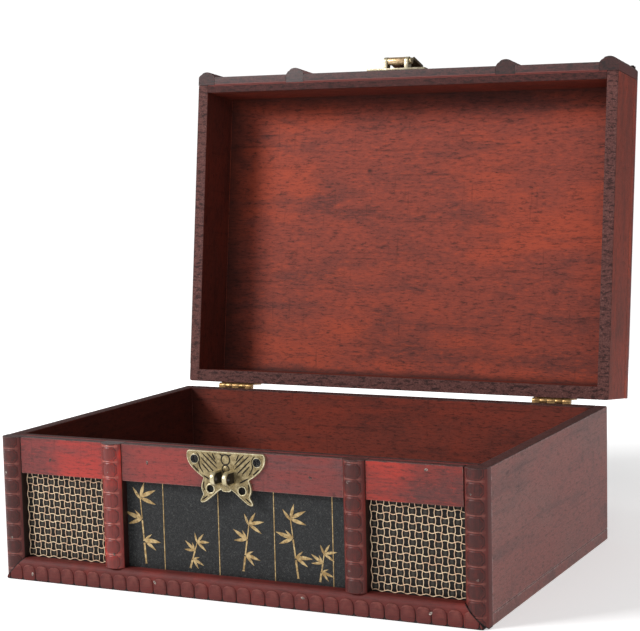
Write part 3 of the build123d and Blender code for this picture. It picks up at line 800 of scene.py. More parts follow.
class Bench:
    """Hand tools. Each works on one piece, in millimetres, until hand_over makes it metres."""

    @staticmethod
    def grip(*pieces: Object) -> None:
        """Select only these pieces, the first of them active."""
        bpy.ops.object.select_all(action="DESELECT")
        for piece in pieces:
            piece.select_set(True)
        bpy.context.view_layer.objects.active = pieces[0]

    @staticmethod
    def label(piece: Object, name: str) -> Object:
        """Name a piece and its mesh alike."""
        piece.name = name
        piece.data.name = name
        return piece

    @staticmethod
    def shape(name: str, primitive: Callable[..., object], **settings: object) -> Object:
        """Add a primitive, with its place and size in its mesh.

        Args:
            name: its name.
            primitive: the operator that adds it.
            settings: the operator's settings.

        Returns:
            The piece.
        """
        bpy.ops.object.select_all(action="DESELECT")
        primitive(**settings)
        piece = Bench.label(bpy.context.active_object, name)
        bpy.ops.object.transform_apply(location=True, rotation=True, scale=True)
        return piece

    @staticmethod
    def block(name: str, low: Point, high: Point) -> Object:
        """A block between two corners."""
        centre = [(a + b) / 2 for a, b in zip(low, high)]
        size = [b - a for a, b in zip(low, high)]
        add = bpy.ops.mesh.primitive_cube_add
        return Bench.shape(name, add, size=1, location=centre, scale=size)

    @staticmethod
    def rod(name: str, centre: Point, radius: float, length: float, sides: int) -> Object:
        """A round rod along z about its middle."""
        return Bench.shape(
            name, bpy.ops.mesh.primitive_cylinder_add, vertices=sides, radius=radius, depth=length,
            location=centre,
        )

    @staticmethod
    def ball(
        name: str, centre: Point, radius: float, squeeze: Point, segments: int, rings: int
    ) -> Object:
        """A ball of some segments and rings, squeezed along each axis."""
        return Bench.shape(
            name, bpy.ops.mesh.primitive_uv_sphere_add, segments=segments, ring_count=rings,
            radius=radius, location=centre, scale=squeeze,
        )

    @staticmethod
    def ring(
        name: str, centre: Point, radius: float, thickness: float, flat: float = 1.0,
        squeeze: float = 1.0,
    ) -> Object:
        """A round ring on xy.

        Args:
            name: its name.
            centre: its middle.
            radius: radius of its middle line.
            thickness: radius of its bar.
            flat: its height as a share of a round bar's.
            squeeze: its y size as a share of its x size.

        Returns:
            The ring.
        """
        piece = Bench.shape(
            name, bpy.ops.mesh.primitive_torus_add, major_radius=radius, minor_radius=thickness,
            major_segments=28, minor_segments=10,
        )
        Bench.move(piece, Matrix.Translation(centre) @ Matrix.Diagonal((1, squeeze, flat, 1)))
        return piece

    @staticmethod
    def plate(name: str, outline: Sequence[Flat], thickness: float) -> Object:
        """A flat plate on the xy plane, cut to an outline and extruded upwards.

        Args:
            name: its name.
            outline: its corners, counter-clockwise.
            thickness: how far it is extruded.

        Returns:
            The plate.
        """
        piece = Bench.shape(
            name, bpy.ops.mesh.primitive_circle_add, vertices=len(outline), radius=1,
            fill_type="NGON",
        )
        for index, corner in zip(list(piece.data.polygons[0].vertices), outline):
            piece.data.vertices[index].co = (*corner, 0.0)
        with editing(piece):
            bpy.ops.mesh.select_all(action="SELECT")
            bpy.ops.mesh.extrude_region_move(TRANSFORM_OT_translate={"value": (0, 0, thickness)})
            Bench.face_out()
        return piece

    @staticmethod
    def face_out() -> None:
        """Turn every face of the edited piece outwards."""
        bpy.ops.mesh.select_all(action="SELECT")
        bpy.ops.mesh.normals_make_consistent(inside=False)

    @staticmethod
    def round_edges(
        piece: Object, width: float, segments: int = 2, angle: float = 35.0,
        test: Optional[Test] = None,
    ) -> None:
        """Round a piece's sharp edges.

        Args:
            piece: the piece.
            width: width of the rounding.
            segments: faces across it.
            angle: least angle of an edge that counts as sharp, in degrees.
            test: which of them are rounded, by their two ends, if not all.
        """
        with editing(piece, "EDGE"):
            mesh = bmesh.from_edit_mesh(piece.data)
            for edge in mesh.edges:
                sharp = (
                    len(edge.link_faces) == 2 and edge.calc_face_angle(0.0) > math.radians(angle)
                )
                ends = [vertex.co for vertex in edge.verts]
                edge.select_set(sharp and (test is None or test(*ends)))
            bmesh.update_edit_mesh(piece.data)
            if any(edge.select for edge in mesh.edges):
                bpy.ops.mesh.bevel(
                    offset=width, segments=segments, affect="EDGES", clamp_overlap=True
                )

    @staticmethod
    def inset(piece: Object, test: Test, steps: Sequence[Flat], **settings: bool) -> None:
        """Inset the faces that pass a test, one step after another.

        Args:
            piece: the piece, being edited.
            test: which faces, by their middle and their normal.
            steps: how far in and how far out each step goes.
            settings: other settings of the inset.
        """
        mesh = bmesh.from_edit_mesh(piece.data)
        for face in mesh.faces:
            face.select_set(test(face.calc_center_median(), face.normal))
        bmesh.update_edit_mesh(piece.data)
        for thickness, depth in steps:
            bpy.ops.mesh.inset(thickness=thickness, depth=depth, **settings)

    @staticmethod
    def cut(
        piece: Object, point: Point, normal: Point, fill: bool = True, keep: bool = False
    ) -> None:
        """Cut a piece along a plane.

        Args:
            piece: the piece.
            point: a point on the plane.
            normal: points to the side that is cut off.
            fill: close the cut.
            keep: cut nothing off, but add edges along the plane.
        """
        with editing(piece):
            bpy.ops.mesh.select_all(action="SELECT")
            bpy.ops.mesh.bisect(
                plane_co=point, plane_no=normal, use_fill=fill and not keep, clear_outer=not keep
            )

    @staticmethod
    def bake(piece: Object, kind: str, **settings: object) -> None:
        """Add a modifier of some kind, with its settings, and apply it."""
        Bench.grip(piece)
        modifier = piece.modifiers.new(kind.lower(), kind)
        for name, value in settings.items():
            setattr(modifier, name, value)
        bpy.ops.object.modifier_apply(modifier=modifier.name)

    @staticmethod
    def repeat(piece: Object, pitch: float, count: int, **settings: object) -> None:
        """Repeat a piece along x."""
        Bench.bake(
            piece, "ARRAY", use_relative_offset=False, use_constant_offset=True,
            constant_offset_displace=(pitch, 0, 0), count=count, **settings,
        )

    @staticmethod
    def carve(piece: Object, cutter: Object, material: Material) -> None:
        """Take a cutter's shape out of a piece, and leave the cutter's finish in the cut."""
        Bench.coat(cutter, [material])
        Bench.bake(
            piece, "BOOLEAN", operation="DIFFERENCE", solver="EXACT", object=cutter,
            material_mode="TRANSFER",
        )
        bpy.data.objects.remove(cutter)

    @staticmethod
    def coat(piece: Object, materials: Sequence[Material], index: int = 0) -> None:
        """Give a piece its list of finishes, and one of them to all its faces."""
        piece.data.materials.clear()
        for material in materials:
            piece.data.materials.append(material)
        piece.data.polygons.foreach_set("material_index", [index] * len(piece.data.polygons))

    @staticmethod
    def cover(part: Object, material: Material) -> None:
        """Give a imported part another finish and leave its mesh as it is."""
        part.data.materials.clear()
        part.data.materials.append(material)

    @staticmethod
    def paint(piece: Object, index: int, test: Test) -> None:
        """Give another of its finishes to the faces whose middle and normal pass a test."""
        for face in piece.data.polygons:
            if test(face.center, face.normal):
                face.material_index = index

    @staticmethod
    def number(piece: Object, name: str, rule: Callable[[Vector], float]) -> None:
        """Give every point of a piece a number that its finish reads."""
        layers = piece.data.attributes
        layer = layers.get(name) or layers.new(name, "FLOAT", "POINT")
        layer.data.foreach_set("value", [rule(vertex.co) for vertex in piece.data.vertices])

    @staticmethod
    def copy(piece: Object, name: str, move: Matrix) -> Object:
        """A copy with a mesh of its own, moved."""
        twin = piece.copy()
        twin.data = piece.data.copy()
        bpy.context.scene.collection.objects.link(twin)
        twin.data.transform(move)
        return Bench.label(twin, name)

    @staticmethod
    def spread(model: Object, name: str, moves: Sequence[Matrix]) -> Object:
        """Copies of a model in all its places, joined in one piece. The model is removed."""
        copies = [Bench.copy(model, f"{name}_copy", move) for move in moves]
        bpy.data.objects.remove(model)
        return Bench.join(copies, name)

    @staticmethod
    def join(pieces: Sequence[Object], name: str) -> Object:
        """Join pieces into one."""
        Bench.grip(*pieces)
        if len(pieces) > 1:
            bpy.ops.object.join()
        return Bench.label(pieces[0], name)

    @staticmethod
    def move(piece: Object, change: Matrix) -> None:
        """Move a piece, its place kept in its mesh."""
        piece.data.transform(change)
        if change.determinant() < 0:
            piece.data.flip_normals()

    @staticmethod
    def hand_over(
        piece: Object, carrier: Carrier, slot: Slot, *nodes: str, smooth: float = 40.0,
        flat: bool = False,
    ) -> None:
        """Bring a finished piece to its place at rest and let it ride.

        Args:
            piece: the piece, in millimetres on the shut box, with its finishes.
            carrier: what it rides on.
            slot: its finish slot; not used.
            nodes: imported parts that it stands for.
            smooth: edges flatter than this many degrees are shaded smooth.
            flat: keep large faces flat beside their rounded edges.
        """
        piece.data.transform(Matrix.Scale(MM, 4) @ carrier.swing())
        Bench.grip(piece)
        bpy.ops.object.shade_smooth_by_angle(angle=math.radians(smooth))
        if flat:
            Bench.bake(piece, "WEIGHTED_NORMAL", keep_sharp=True, weight=100)
        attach(piece, carrier.value)
        if nodes:
            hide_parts(*nodes)
        LOG.info("%s: %d faces on %s", piece.name, len(piece.data.polygons), carrier.value)


def flowing(points: Sequence[Flat], steps: int = 3) -> list[Flat]:
    """Points along a smooth line through the given ones, without the last.

    Args:
        points: points that it passes.
        steps: points from each one to the next.

    Returns:
        The points.
    """
    full = [points[0], *points, points[-1]]
    found: list[Flat] = []
    for corners in zip(full, full[1:], full[2:], full[3:]):
        for index in range(steps):
            t = index / steps
            x, y = (
                0.5 * (
                    2 * b + (c - a) * t + (2 * a - 5 * b + 4 * c - d) * t**2
                    + (3 * b - a - 3 * c + d) * t**3
                )
                for a, b, c, d in zip(*corners)
            )
            found.append((x, y))
    return found


def directions(line: Sequence[Flat], closed: bool) -> Iterator[tuple[float, float, Vector]]:
    """Each point of a line with the direction that the line has there."""
    last = len(line) - 1
    for index, (x, y) in enumerate(line):
        before = line[index - 1] if index or closed else line[0]
        after = line[(index + 1) % len(line)] if index < last or closed else line[last]
        yield x, y, Vector((after[0] - before[0], after[1] - before[1])).normalized()


def ribbon(points: Sequence[Flat], half: float) -> list[Flat]:
    """Outline of a stroke along some points, thinner towards both ends.

    Args:
        points: points that it passes.
        half: half its greatest width.

    Returns:
        Its corners, counter-clockwise.
    """
    line = [*flowing(points), points[-1]]
    right: list[Flat] = []
    left: list[Flat] = []
    for index, (x, y, run) in enumerate(directions(line, closed=False)):
        width = half * (0.35 + 0.65 * math.sin(math.pi * index / (len(line) - 1)) ** 0.6)
        right.append((x + run.y * width, y - run.x * width))
        left.append((x - run.y * width, y + run.x * width))
    return right + left[::-1]


@dataclass
class Board:
    """One plain board: its part, its corners, its grain, its looks and its edges."""

    node: str
    carrier: Carrier
    low: Point
    high: Point
    grain: Grain
    rim: Optional[Rim]
    rounding: float
    finish: StainedWood
    inside: Optional[InnerStainAndShade] = None
    corner_round: float = 1.2

    def build(self) -> None:
        """Model the board with softened edges and dress it."""
        piece = Bench.block(f"{self.node}_wood", self.low, self.high)
        if self.low[1] <= SIZES.board_front and self.high[1] >= SIZES.back:
            Bench.round_edges(piece, self.corner_round, 4, test=self.at_back_corner)
        Bench.round_edges(piece, self.rounding, angle=60)
        Bench.coat(piece, [self.finish.make(self)])
        Bench.hand_over(piece, self.carrier, Slot.STAINED, self.node, flat=True)

    @staticmethod
    def at_back_corner(a: Vector, b: Vector) -> bool:
        """Whether an edge between two points is an upright back corner of the box."""
        outer = abs(a.x) > SIZES.half_width - 0.01 and a.y > SIZES.back - 1
        return outer and abs(a.z - b.z) > 1


@dataclass
class Case:
    """The plain boards of the body and the lid, and the rails of the front."""

    sizes: BoxSizes = SIZES
    bare: StainedWood = StainedWood(rough=0.62, gloss=0.22, lacquer=0.0, wear=0.4)
    plain: StainedWood = StainedWood(
        (126, 56, 44), (148, 58, 40), (88, 44, 38), rough=0.62, gloss=0.18, lacquer=0.0
    )
    # a greyed, pale-speckled copy of the stain: its grey paints in the reflection of the pale surroundings seen on the
    # body's right side at a grazing angle; the bottom board shares it
    painted_sheen: StainedWood = StainedWood(
        (132, 84, 78), (142, 78, 72), (94, 66, 64), (54, 34, 33), (170, 148, 144), speckle=0.8,
        wear=1.3, rough=0.6, gloss=0.25,
    )
    left_rail: StainedWood = StainedWood(
        (104, 42, 41), (166, 44, 35), (92, 54, 56), glow_share=0.3, wear=0.6, warm=(-77.0, 20.0)
    )
    centre_rail: StainedWood = StainedWood(
        (102, 44, 42), (136, 46, 41), (84, 54, 56), glow_share=0.4, speckle=0.5, warm=(-34.0, 26.0)
    )
    right_rail: StainedWood = StainedWood(
        (94, 34, 30), (160, 42, 29), (76, 42, 41), glow_share=0.3, wear=0.6, warm=(73.0, 17.0)
    )
    rail_gap: float = 0.5

    def __post_init__(self) -> None:
        """Work out the rims of the walls and of the front that lies over them."""
        s = self.sizes
        lid_seam = ((26, 13, 12), (66, 32, 30), (112, 70, 64), (122, 56, 50))
        self.rims = {
            "body": Rim(s.body_height),
            "lid": Rim(s.lid_bottom, None, (36, 20, 20), (92, 56, 52), (134, 98, 92)),
        }
        self.seams = {
            "body": Rim(s.body_height, s.board_front),
            "lid": Rim(s.lid_bottom, s.board_front, *lid_seam),
        }

    def walls(
        self, carrier: Carrier, bottom: float, top: float, stains_and_shade: Sequence[InnerStainAndShade]
    ) -> list[Board]:
        """The four walls of the body or the lid.

        Args:
            carrier: which of them.
            bottom: their lower edge.
            top: their upper edge.
            stains_and_shade: their inner stain and painted shade, left, right, front and back.

        Returns:
            The walls.
        """
        s, prefix = self.sizes, carrier.value
        wide, inner, front, back = s.half_width, s.inner_half_width, s.board_front, s.back
        found: list[Board] = []
        for word, low, high, stain in (
            ("left", (-wide, front), (-inner, back), stains_and_shade[0]),
            ("right", (inner, front), (wide, back), stains_and_shade[1]),
            ("front", (-inner, front), (inner, s.inner_front), stains_and_shade[2]),
            ("back", (-inner, s.inner_back), (inner, back), stains_and_shade[3]),
        ):
            side = word in ("left", "right")
            rim = self.seams[prefix] if word == "front" else self.rims[prefix]
            # the body's right side takes the copy with the painted reflection
            finish = self.painted_sheen if (prefix, word) == ("body", "right") else self.plain
            found.append(Board(
                f"{prefix}_{word}_board", carrier, (*low, bottom), (*high, top),
                Grain.DEEP if side else Grain.ACROSS, rim, 0.5 if side else 0.25, finish, stain,
            ))
        return found

    def level(
        self, node: str, carrier: Carrier, bottom: float, top: float, finish: StainedWood,
        stain: InnerStainAndShade,
    ) -> Board:
        """The bottom board or the lid's top board."""
        s = self.sizes
        low, high = (-s.half_width, s.board_front, bottom), (s.half_width, s.back, top)
        return Board(node, carrier, low, high, Grain.ACROSS, None, 0.5, finish, stain)

    def rails(self) -> list[Board]:
        """The rails along the rim, on the body and on the lid."""
        s = self.sizes
        found: list[Board] = []
        for word, start, end, gap, finish in (
            ("left", -s.facing_half_width, -s.strip_outer, 0.0, self.left_rail),
            ("centre", -s.strip_inner, s.strip_inner, 0.0, self.centre_rail),
            ("right", s.strip_outer, s.facing_half_width, self.rail_gap, self.right_rail),
        ):
            for prefix, carrier, bottom, top, stop in (
                ("front", Carrier.BODY, s.body_rail_bottom, s.body_height, end - gap),
                ("lid", Carrier.LID, s.lid_bottom, s.lid_rail_top, end),
            ):
                low, high = (start, s.front, bottom), (stop, s.board_front, top)
                rim, node = self.seams[carrier.value], f"{prefix}_{word}_rail"
                found.append(Board(node, carrier, low, high, Grain.ACROSS, rim, 0.3, finish))
        return found

    def build(self) -> None:
        """Model and dress every board."""
        s, body, lid = self.sizes, Carrier.BODY, Carrier.LID
        # inner faces: an even darkening, partly darker stain and partly painted shade, heaviest on the body's walls,
        # and painted shade along corners, widest on the left, where the walls keep off the light from the left and
        # above
        wall, rear = InnerStainAndShade(0.72), InnerStainAndShade(0.22, left=16.0, right=6.0)
        lid_side, lid_rear = InnerStainAndShade(0.62), InnerStainAndShade(0.3)
        floor = InnerStainAndShade(0.5, 14.0, 14.0, 14.0, 14.0)
        ceiling = InnerStainAndShade(0.0, 30.0, 5.0, 15.0, 4.0)
        lid_stains_and_shade = (lid_side, lid_side, lid_rear, lid_rear)
        for board in (
            self.level("bottom_board", body, 0, s.bottom_board, self.painted_sheen, floor),
            *self.walls(body, s.bottom_board, s.body_height, (wall, wall, wall, rear)),
            self.level("lid_top_board", lid, s.lid_ceiling, s.lid_board_top, self.bare, ceiling),
            *self.walls(lid, s.lid_bottom, s.lid_ceiling, lid_stains_and_shade),
            *self.rails(),
        ):
            board.build()


@dataclass
class CarvedBar:
    """A half-round bar with a row of rounded cells along its crown. It lies along x, y across."""

    width: float
    edge: float
    rise: float
    cell_half: float = 4.0
    groove: float = 0.3
    pitch: float = 7.08
    ridge: float = 0.4
    facet: float = 1.15
    corner_run: float = 1.1
    corner_rise: float = 1.0
    divisions: int = 1

    @property
    def radius(self) -> float:
        """Radius of the rounded face."""
        return (self.width**2 / 4 + self.rise**2) / (2 * self.rise)

    @property
    def centre(self) -> float:
        """Height of the rounded face's axis."""
        return self.edge + self.rise - self.radius

    def cell(self, name: str) -> Object:
        """One cell of the bar, an open shell as long as the pitch."""
        piece = Bench.shape(
            name, bpy.ops.mesh.primitive_cylinder_add, radius=self.radius, depth=self.pitch,
            vertices=4 * round(2 * math.pi * self.radius / self.facet / 4),
            end_fill_type="NOTHING", location=(0, 0, self.centre), rotation=(0, math.pi / 2, 0),
        )
        Bench.cut(piece, (0, 0, self.edge), (0, 0, -1), fill=False)
        end = (self.pitch - self.ridge) / 2
        corner, shoulder = end - self.corner_run, self.cell_half - self.corner_rise
        for place in (-end, -corner, 0.0, corner, end):
            Bench.cut(piece, (place, 0, 0), (1, 0, 0), keep=True)

        def in_cell(middle: Vector, normal: Vector) -> bool:
            """Whether a face lies in the cell, whose corners are cut off."""
            x, y = abs(middle.x), abs(middle.y)
            return x < end and y < self.cell_half and not (x > corner and y > shoulder)

        with editing(piece):
            steps = ((0.22, -self.groove), (0.35, self.groove * 0.9), (0.4, self.groove * 0.3))
            Bench.inset(piece, in_cell, steps)
            mesh = bmesh.from_edit_mesh(piece.data)
            pad = [float(vertex.select) for vertex in mesh.verts]
        piece.data.attributes.new("pad", "FLOAT", "POINT").data.foreach_set("value", pad)
        return piece

    def build(
        self, name: str, length: float, phase: float = 0.0, shaded: Sequence[int] = (-1, 1)
    ) -> Object:
        """The closed bar.

        Args:
            name: its name.
            length: its length, from x = 0.
            phase: where the first cell starts, as a share of the pitch.
            shaded: sides, -1 or 1 along y, whose flank lies in a dark corner and is painted with shade.

        Returns:
            The bar.
        """
        piece = self.cell(name)
        count = math.ceil(length / self.pitch) + 2
        Bench.repeat(piece, self.pitch, count, use_merge_vertices=True, merge_threshold=0.01)
        Bench.bake(piece, "SUBSURF", levels=self.divisions, render_levels=self.divisions)
        Bench.move(piece, Matrix.Translation((-self.pitch * (0.5 + phase), 0, 0)))
        Bench.cut(piece, (0, 0, 0), (-1, 0, 0), fill=False)
        Bench.cut(piece, (length, 0, 0), (1, 0, 0), fill=False)
        with editing(piece, "EDGE"):
            bpy.ops.mesh.select_non_manifold()
            bpy.ops.mesh.extrude_region_move(TRANSFORM_OT_translate={"value": (0, 0, -0.5)})
            mesh = bmesh.from_edit_mesh(piece.data)
            for vertex in mesh.verts:
                if vertex.select:
                    vertex.co.z = 0.0
            bmesh.update_edit_mesh(piece.data)
            bpy.ops.mesh.edge_face_add()
            Bench.face_out()

        # the cut number drives painted shade in the grooves and on the flanks of the shaded sides
        def cut_depth(co: Vector) -> float:
            """How deep a point lies below the uncarved face, as a share of the groove."""
            if co.z < self.edge + 0.3:
                return float(math.copysign(1, co.y) in shaded)
            out = math.hypot(co.y, co.z - self.centre)
            return max(0.0, min(1.0, (self.radius - 0.04 - out) / self.groove))

        # the crest number drives pale paint on the ridges, partly wear and partly painted highlight
        def crest(co: Vector) -> float:
            """One on the ridges between cells, nought elsewhere."""
            along = (co.x / self.pitch + phase) % 1.0
            near = min(along, 1.0 - along) * self.pitch
            on_crown = abs(co.y) < self.cell_half + 0.2 and co.z > self.edge
            return float(near < self.ridge * 0.9 and on_crown)

        Bench.number(piece, "cut", cut_depth)
        Bench.number(piece, "crest", crest)
        return piece


@dataclass
class TonguedMoulding:
    """A moulding with an upright face, a rounded slope and tongues. It lies along x, y across."""

    length: float = 240.0
    width: float = 10.0
    face: float = 6.9
    lip: float = 4.8
    shoulder: float = 6.8
    pitch: float = 7.08
    count: int = 35
    tongue_half: float = 3.4
    tongue_top: float = 7.5
    tongue_low: float = 0.25
    tongue_rise: float = 0.45
    tongue_root: float = 0.3
    tongue_soft: float = 0.55
    foot_round: float = 1.5
    arch_height: float = 3.5
    arch_power: float = 0.84
    end_round: float = 2.4
    tip: float = 1.9

    def section(self) -> list[Flat]:
        """Corners of the section, y across and z out, counter-clockwise from the origin."""
        run, drop = self.width - self.shoulder, self.face - self.lip
        radius = (run**2 + drop**2) / (2 * drop)
        slope = [math.asin(run / radius) * share / 8 for share in range(7, -1, -1)]
        return [
            (0.0, 0.0), (self.width, 0.0), (self.width, self.lip),
            *(
                (self.shoulder + radius * math.sin(a), self.face - radius * (1 - math.cos(a)))
                for a in slope
            ),
            (0.0, self.face),
        ]

    def tongue(self, name: str) -> Object:
        """One tongue: a broad arch with rounded lower corners and a soft edge."""
        arch: list[Flat] = []
        for index in range(13):
            turn = math.pi * index / 12
            across, up = math.cos(turn), math.sin(turn)
            x = math.copysign(abs(across) ** self.arch_power, across) * self.tongue_half
            arch.append((x, self.tongue_top - self.arch_height * (1 - up**self.arch_power)))
        foot: list[Flat] = []
        for index in range(5):
            turn = math.pi * index / 8
            x = self.tongue_half - self.foot_round * (1 - math.cos(turn))
            foot.append((x, self.tongue_low + self.foot_round * (1 - math.sin(turn))))
        arch += [(-x, y) for x, y in foot] + foot[::-1]
        top = self.tongue_rise + self.tongue_root
        piece = Bench.plate(name, arch, top)
        Bench.round_edges(
            piece, self.tongue_soft, 3, angle=50, test=lambda a, b: min(a.z, b.z) > top - 0.01
        )
        first = (self.length - (self.count - 1) * self.pitch) / 2
        Bench.move(piece, Matrix.Translation((first, 0, self.face - self.tongue_root)))
        Bench.repeat(piece, self.pitch, self.count)
        return piece

    def at_end(self, a: Vector, b: Vector) -> bool:
        """Whether an edge between two points stands at one of the moulding's ends."""
        off = min(abs(a.x - end) + abs(b.x - end) for end in (0.0, self.length))
        return off < 0.01 and abs(a.z - b.z) > 3

    def build(self, name: str) -> Object:
        """The mitred moulding with its tongues, from x = 0."""
        piece = Bench.plate(name, self.section(), self.length)
        Bench.move(piece, axes((0, 1, 0), (0, 0, 1), (1, 0, 0), (0, 0, 0)))
        tongues = self.tongue(f"{name}_tongue")
        for part in (piece, tongues):
            Bench.cut(part, (0, 0, 0), (-1, 1, 0))
            Bench.cut(part, (self.length, 0, 0), (1, 1, 0))
        Bench.cut(tongues, (self.tip, 0, 0), (-1, 0, 0))
        Bench.cut(tongues, (self.length - self.tip, 0, 0), (1, 0, 0))
        Bench.round_edges(piece, self.end_round, 4, angle=20, test=self.at_end)
        top = self.face + self.tongue_rise
        crown = self.tongue_top - 1.2

        def between(co: Vector) -> float:
            """One on the upright face, which shows between the tongues."""
            return float(co.z > self.face - 0.02 and co.y < self.shoulder - 0.1)

        def depth(co: Vector) -> float:
            """How deep a point lies below the tongues' tops."""
            return max(0.0, min(1.0, (top - 0.12 - co.z) / self.tongue_rise))

        # cut paints shade on the upright face between the tongues and down their sides; crest pales the tongues' upper
        # rims, partly wear and partly painted highlight
        for part, cut, crest, pad in (
            (piece, between, lambda co: 0.0, lambda co: 0.0),
            (tongues, depth, lambda co: 0.4 * (co.y > crown and co.z > top - 0.35),
             lambda co: float(co.z > top - 0.05)),
        ):
            Bench.number(part, "cut", cut)
            Bench.number(part, "crest", crest)
            Bench.number(part, "pad", pad)
        return Bench.join([piece, tongues], name)


@dataclass
class CarvedFrames:
    """The carved mouldings and strips on the front and on top."""

    sizes: BoxSizes = SIZES
    plain: CarvedWood = CarvedWood()
    corner: CarvedWood = CarvedWood(
        (86, 32, 28), (112, 38, 30), (54, 22, 20), (16, 6, 5), (118, 64, 56), 0.5, 0.5, 0.04
    )
    left_strip: CarvedWood = CarvedWood(
        (124, 38, 32), (204, 46, 30), (104, 34, 29), (22, 7, 6), (166, 90, 78), 0.9, 0.36, 0.25
    )
    # a darker copy of the carved finish for the bottom moulding: painted shade for the shade it turns into towards the
    # bottom
    front_bottom: CarvedWood = CarvedWood(
        (90, 32, 28), (124, 38, 30), (84, 31, 28), (18, 6, 5), (146, 82, 72), 0.5, 0.62, 0.0
    )
    right_strip: CarvedWood = CarvedWood(
        (88, 30, 26), (122, 36, 28), (58, 23, 20), (18, 6, 5), (120, 66, 58), 0.6, 0.46, 0.06
    )
    lid_rim: tuple[Colour, ...] = ((22, 10, 9), (56, 24, 22), (94, 54, 49))
    top_cell_half: float = 3.0
    top_groove: float = 0.28

    def dress(
        self, piece: Object, carrier: Carrier, grain: Grain, node: str, rim: Optional[Rim] = None
    ) -> None:
        """Give a moulding its finish and let it stand for its part.

        Args:
            piece: the moulding.
            carrier: what it rides on.
            grain: direction of its grain.
            node: the part.
            rim: its bare rim face, if it has one.
        """
        looks = ("corner", "left_strip", "front_bottom", "right_strip")
        finish = getattr(self, next((word for word in looks if word in node), "plain"))
        mitre = None
        if any(word in node for word in ("corner", "front_bottom", "front_top")):
            mitre = 0.0 if carrier is Carrier.BODY else self.sizes.lid_frame_top
        Bench.coat(piece, [finish.make(f"{node}_stain", carrier, grain, rim, mitre)])
        Bench.hand_over(piece, carrier, Slot.CARVED, node, smooth=48.0)

    def upright(
        self, bar: CarvedBar, node: str, carrier: Carrier, x: float, span: Flat, phase: float,
        side: int,
    ) -> None:
        """One upright bar on the front.

        Args:
            bar: its shape.
            node: the part it stands for.
            carrier: what it rides on.
            x: its middle.
            span: its lower and upper ends.
            phase: where its first cell starts.
            side: -1 or 1 on a mitred bar at the left or right corner, 0 on a strip.
        """
        s, (low, high) = self.sizes, span
        # flanks painted with shade: a corner moulding's inner flank, both flanks of a strip
        shaded = (-side,) if side else (-1, 1)
        piece = bar.build(f"{node}_carving", high - low, phase, shaded)
        Bench.move(piece, axes((0, 0, 1), (1, 0, 0), (0, -1, 0), (x, s.board_front, low)))
        with editing(piece):
            Bench.face_out()
        on_body = carrier is Carrier.BODY
        if side:
            outer, up = (low, -1) if on_body else (high, 1)
            Bench.cut(piece, (side * s.half_width, 0.0, outer), (-side, 0, up))
        rim = Rim(s.body_height) if on_body else Rim(s.lid_bottom, None, *self.lid_rim)
        self.dress(piece, carrier, Grain.UPRIGHT, node, rim)

    def uprights(self) -> None:
        """Model and dress the corner mouldings and the strips on the front."""
        s, body, lid = self.sizes, Carrier.BODY, Carrier.LID
        corner = CarvedBar(s.moulding_width, s.rail_thickness, s.moulding_rise)
        strip = CarvedBar(s.strip_width, s.rail_thickness, s.strip_rise)
        for side, word in SIDES:
            for kind, bar, carrier, x, span, phase in (
                ("front_{}_corner_moulding", corner, body, s.corner_x, (0.0, s.body_height), 0.3),
                ("lid_{}_corner_moulding", corner, lid, s.corner_x,
                 (s.lid_bottom, s.lid_frame_top), 0.2),
                ("front_{}_strip", strip, body, s.strip_x, (s.moulding_width, s.body_height), 0.1),
                ("lid_{}_strip", strip, lid, s.strip_x,
                 (s.lid_bottom, s.lid_moulding_bottom), 0.25),
            ):
                mitred = side if bar is corner else 0
                self.upright(bar, kind.format(word), carrier, side * x, span, phase, mitred)

    def levels(self) -> None:
        """Model and dress the tongued mouldings along the front's lower and upper edges."""
        s, tongued = self.sizes, TonguedMoulding()
        corner = (s.half_width, s.board_front, s.lid_frame_top)
        upper = axes((-1, 0, 0), (0, 0, -1), (0, -1, 0), corner)
        for node, carrier, place in (
            ("front_bottom_moulding", Carrier.BODY, facing_front(-s.half_width, s.board_front, 0)),
            ("lid_front_top_moulding", Carrier.LID, upper),
        ):
            piece = tongued.build(f"{node}_carving")
            Bench.move(piece, place)
            self.dress(piece, carrier, Grain.ACROSS, node)

    def top(self) -> None:
        """Model and dress the frame and the strips on top of the lid."""
        s = self.sizes
        frame, strip = (
            CarvedBar(width, s.top_edge, s.top_rise, self.top_cell_half, self.top_groove)
            for width in (s.moulding_width, s.strip_width)
        )
        half, wide, level = s.moulding_width / 2, 2 * s.half_width, s.lid_board_top
        middle, depth = (s.back + s.board_front) / 2, s.back - s.board_front
        for word, along, out, centre, length in (
            ("front", (1, 0, 0), (0, 1, 0), (0, s.board_front + half), wide),
            ("back", (-1, 0, 0), (0, -1, 0), (0, s.back - half), wide),
            ("left", (0, -1, 0), (1, 0, 0), (-s.half_width + half, middle), depth),
            ("right", (0, 1, 0), (-1, 0, 0), (s.half_width - half, middle), depth),
        ):
            node = f"top_{word}_moulding"
            # the inner flank of each top moulding is painted with shade
            piece = frame.build(f"{node}_carving", length, 0.15, (1,))
            Bench.cut(piece, (0, -half, 0), (-1, 1, 0))
            Bench.cut(piece, (length, -half, 0), (1, 1, 0))
            start = Vector((*centre, level)) - Vector(along) * length / 2
            Bench.move(piece, axes(along, out, (0, 0, 1), tuple(start)))
            self.dress(piece, Carrier.LID, Grain.ACROSS if along[0] else Grain.DEEP, node)
        inner = depth - 2 * s.moulding_width
        for side, word in SIDES:
            node = f"top_{word}_strip"
            piece = strip.build(f"{node}_carving", inner, 0.1)
            start = (side * s.strip_x, middle - inner / 2, level)
            Bench.move(piece, axes((0, 1, 0), (-1, 0, 0), (0, 0, 1), start))
            self.dress(piece, Carrier.LID, Grain.DEEP, node)

    def build(self) -> None:
        """Model and dress every moulding and strip."""
        self.uprights()
        self.levels()
        self.top()


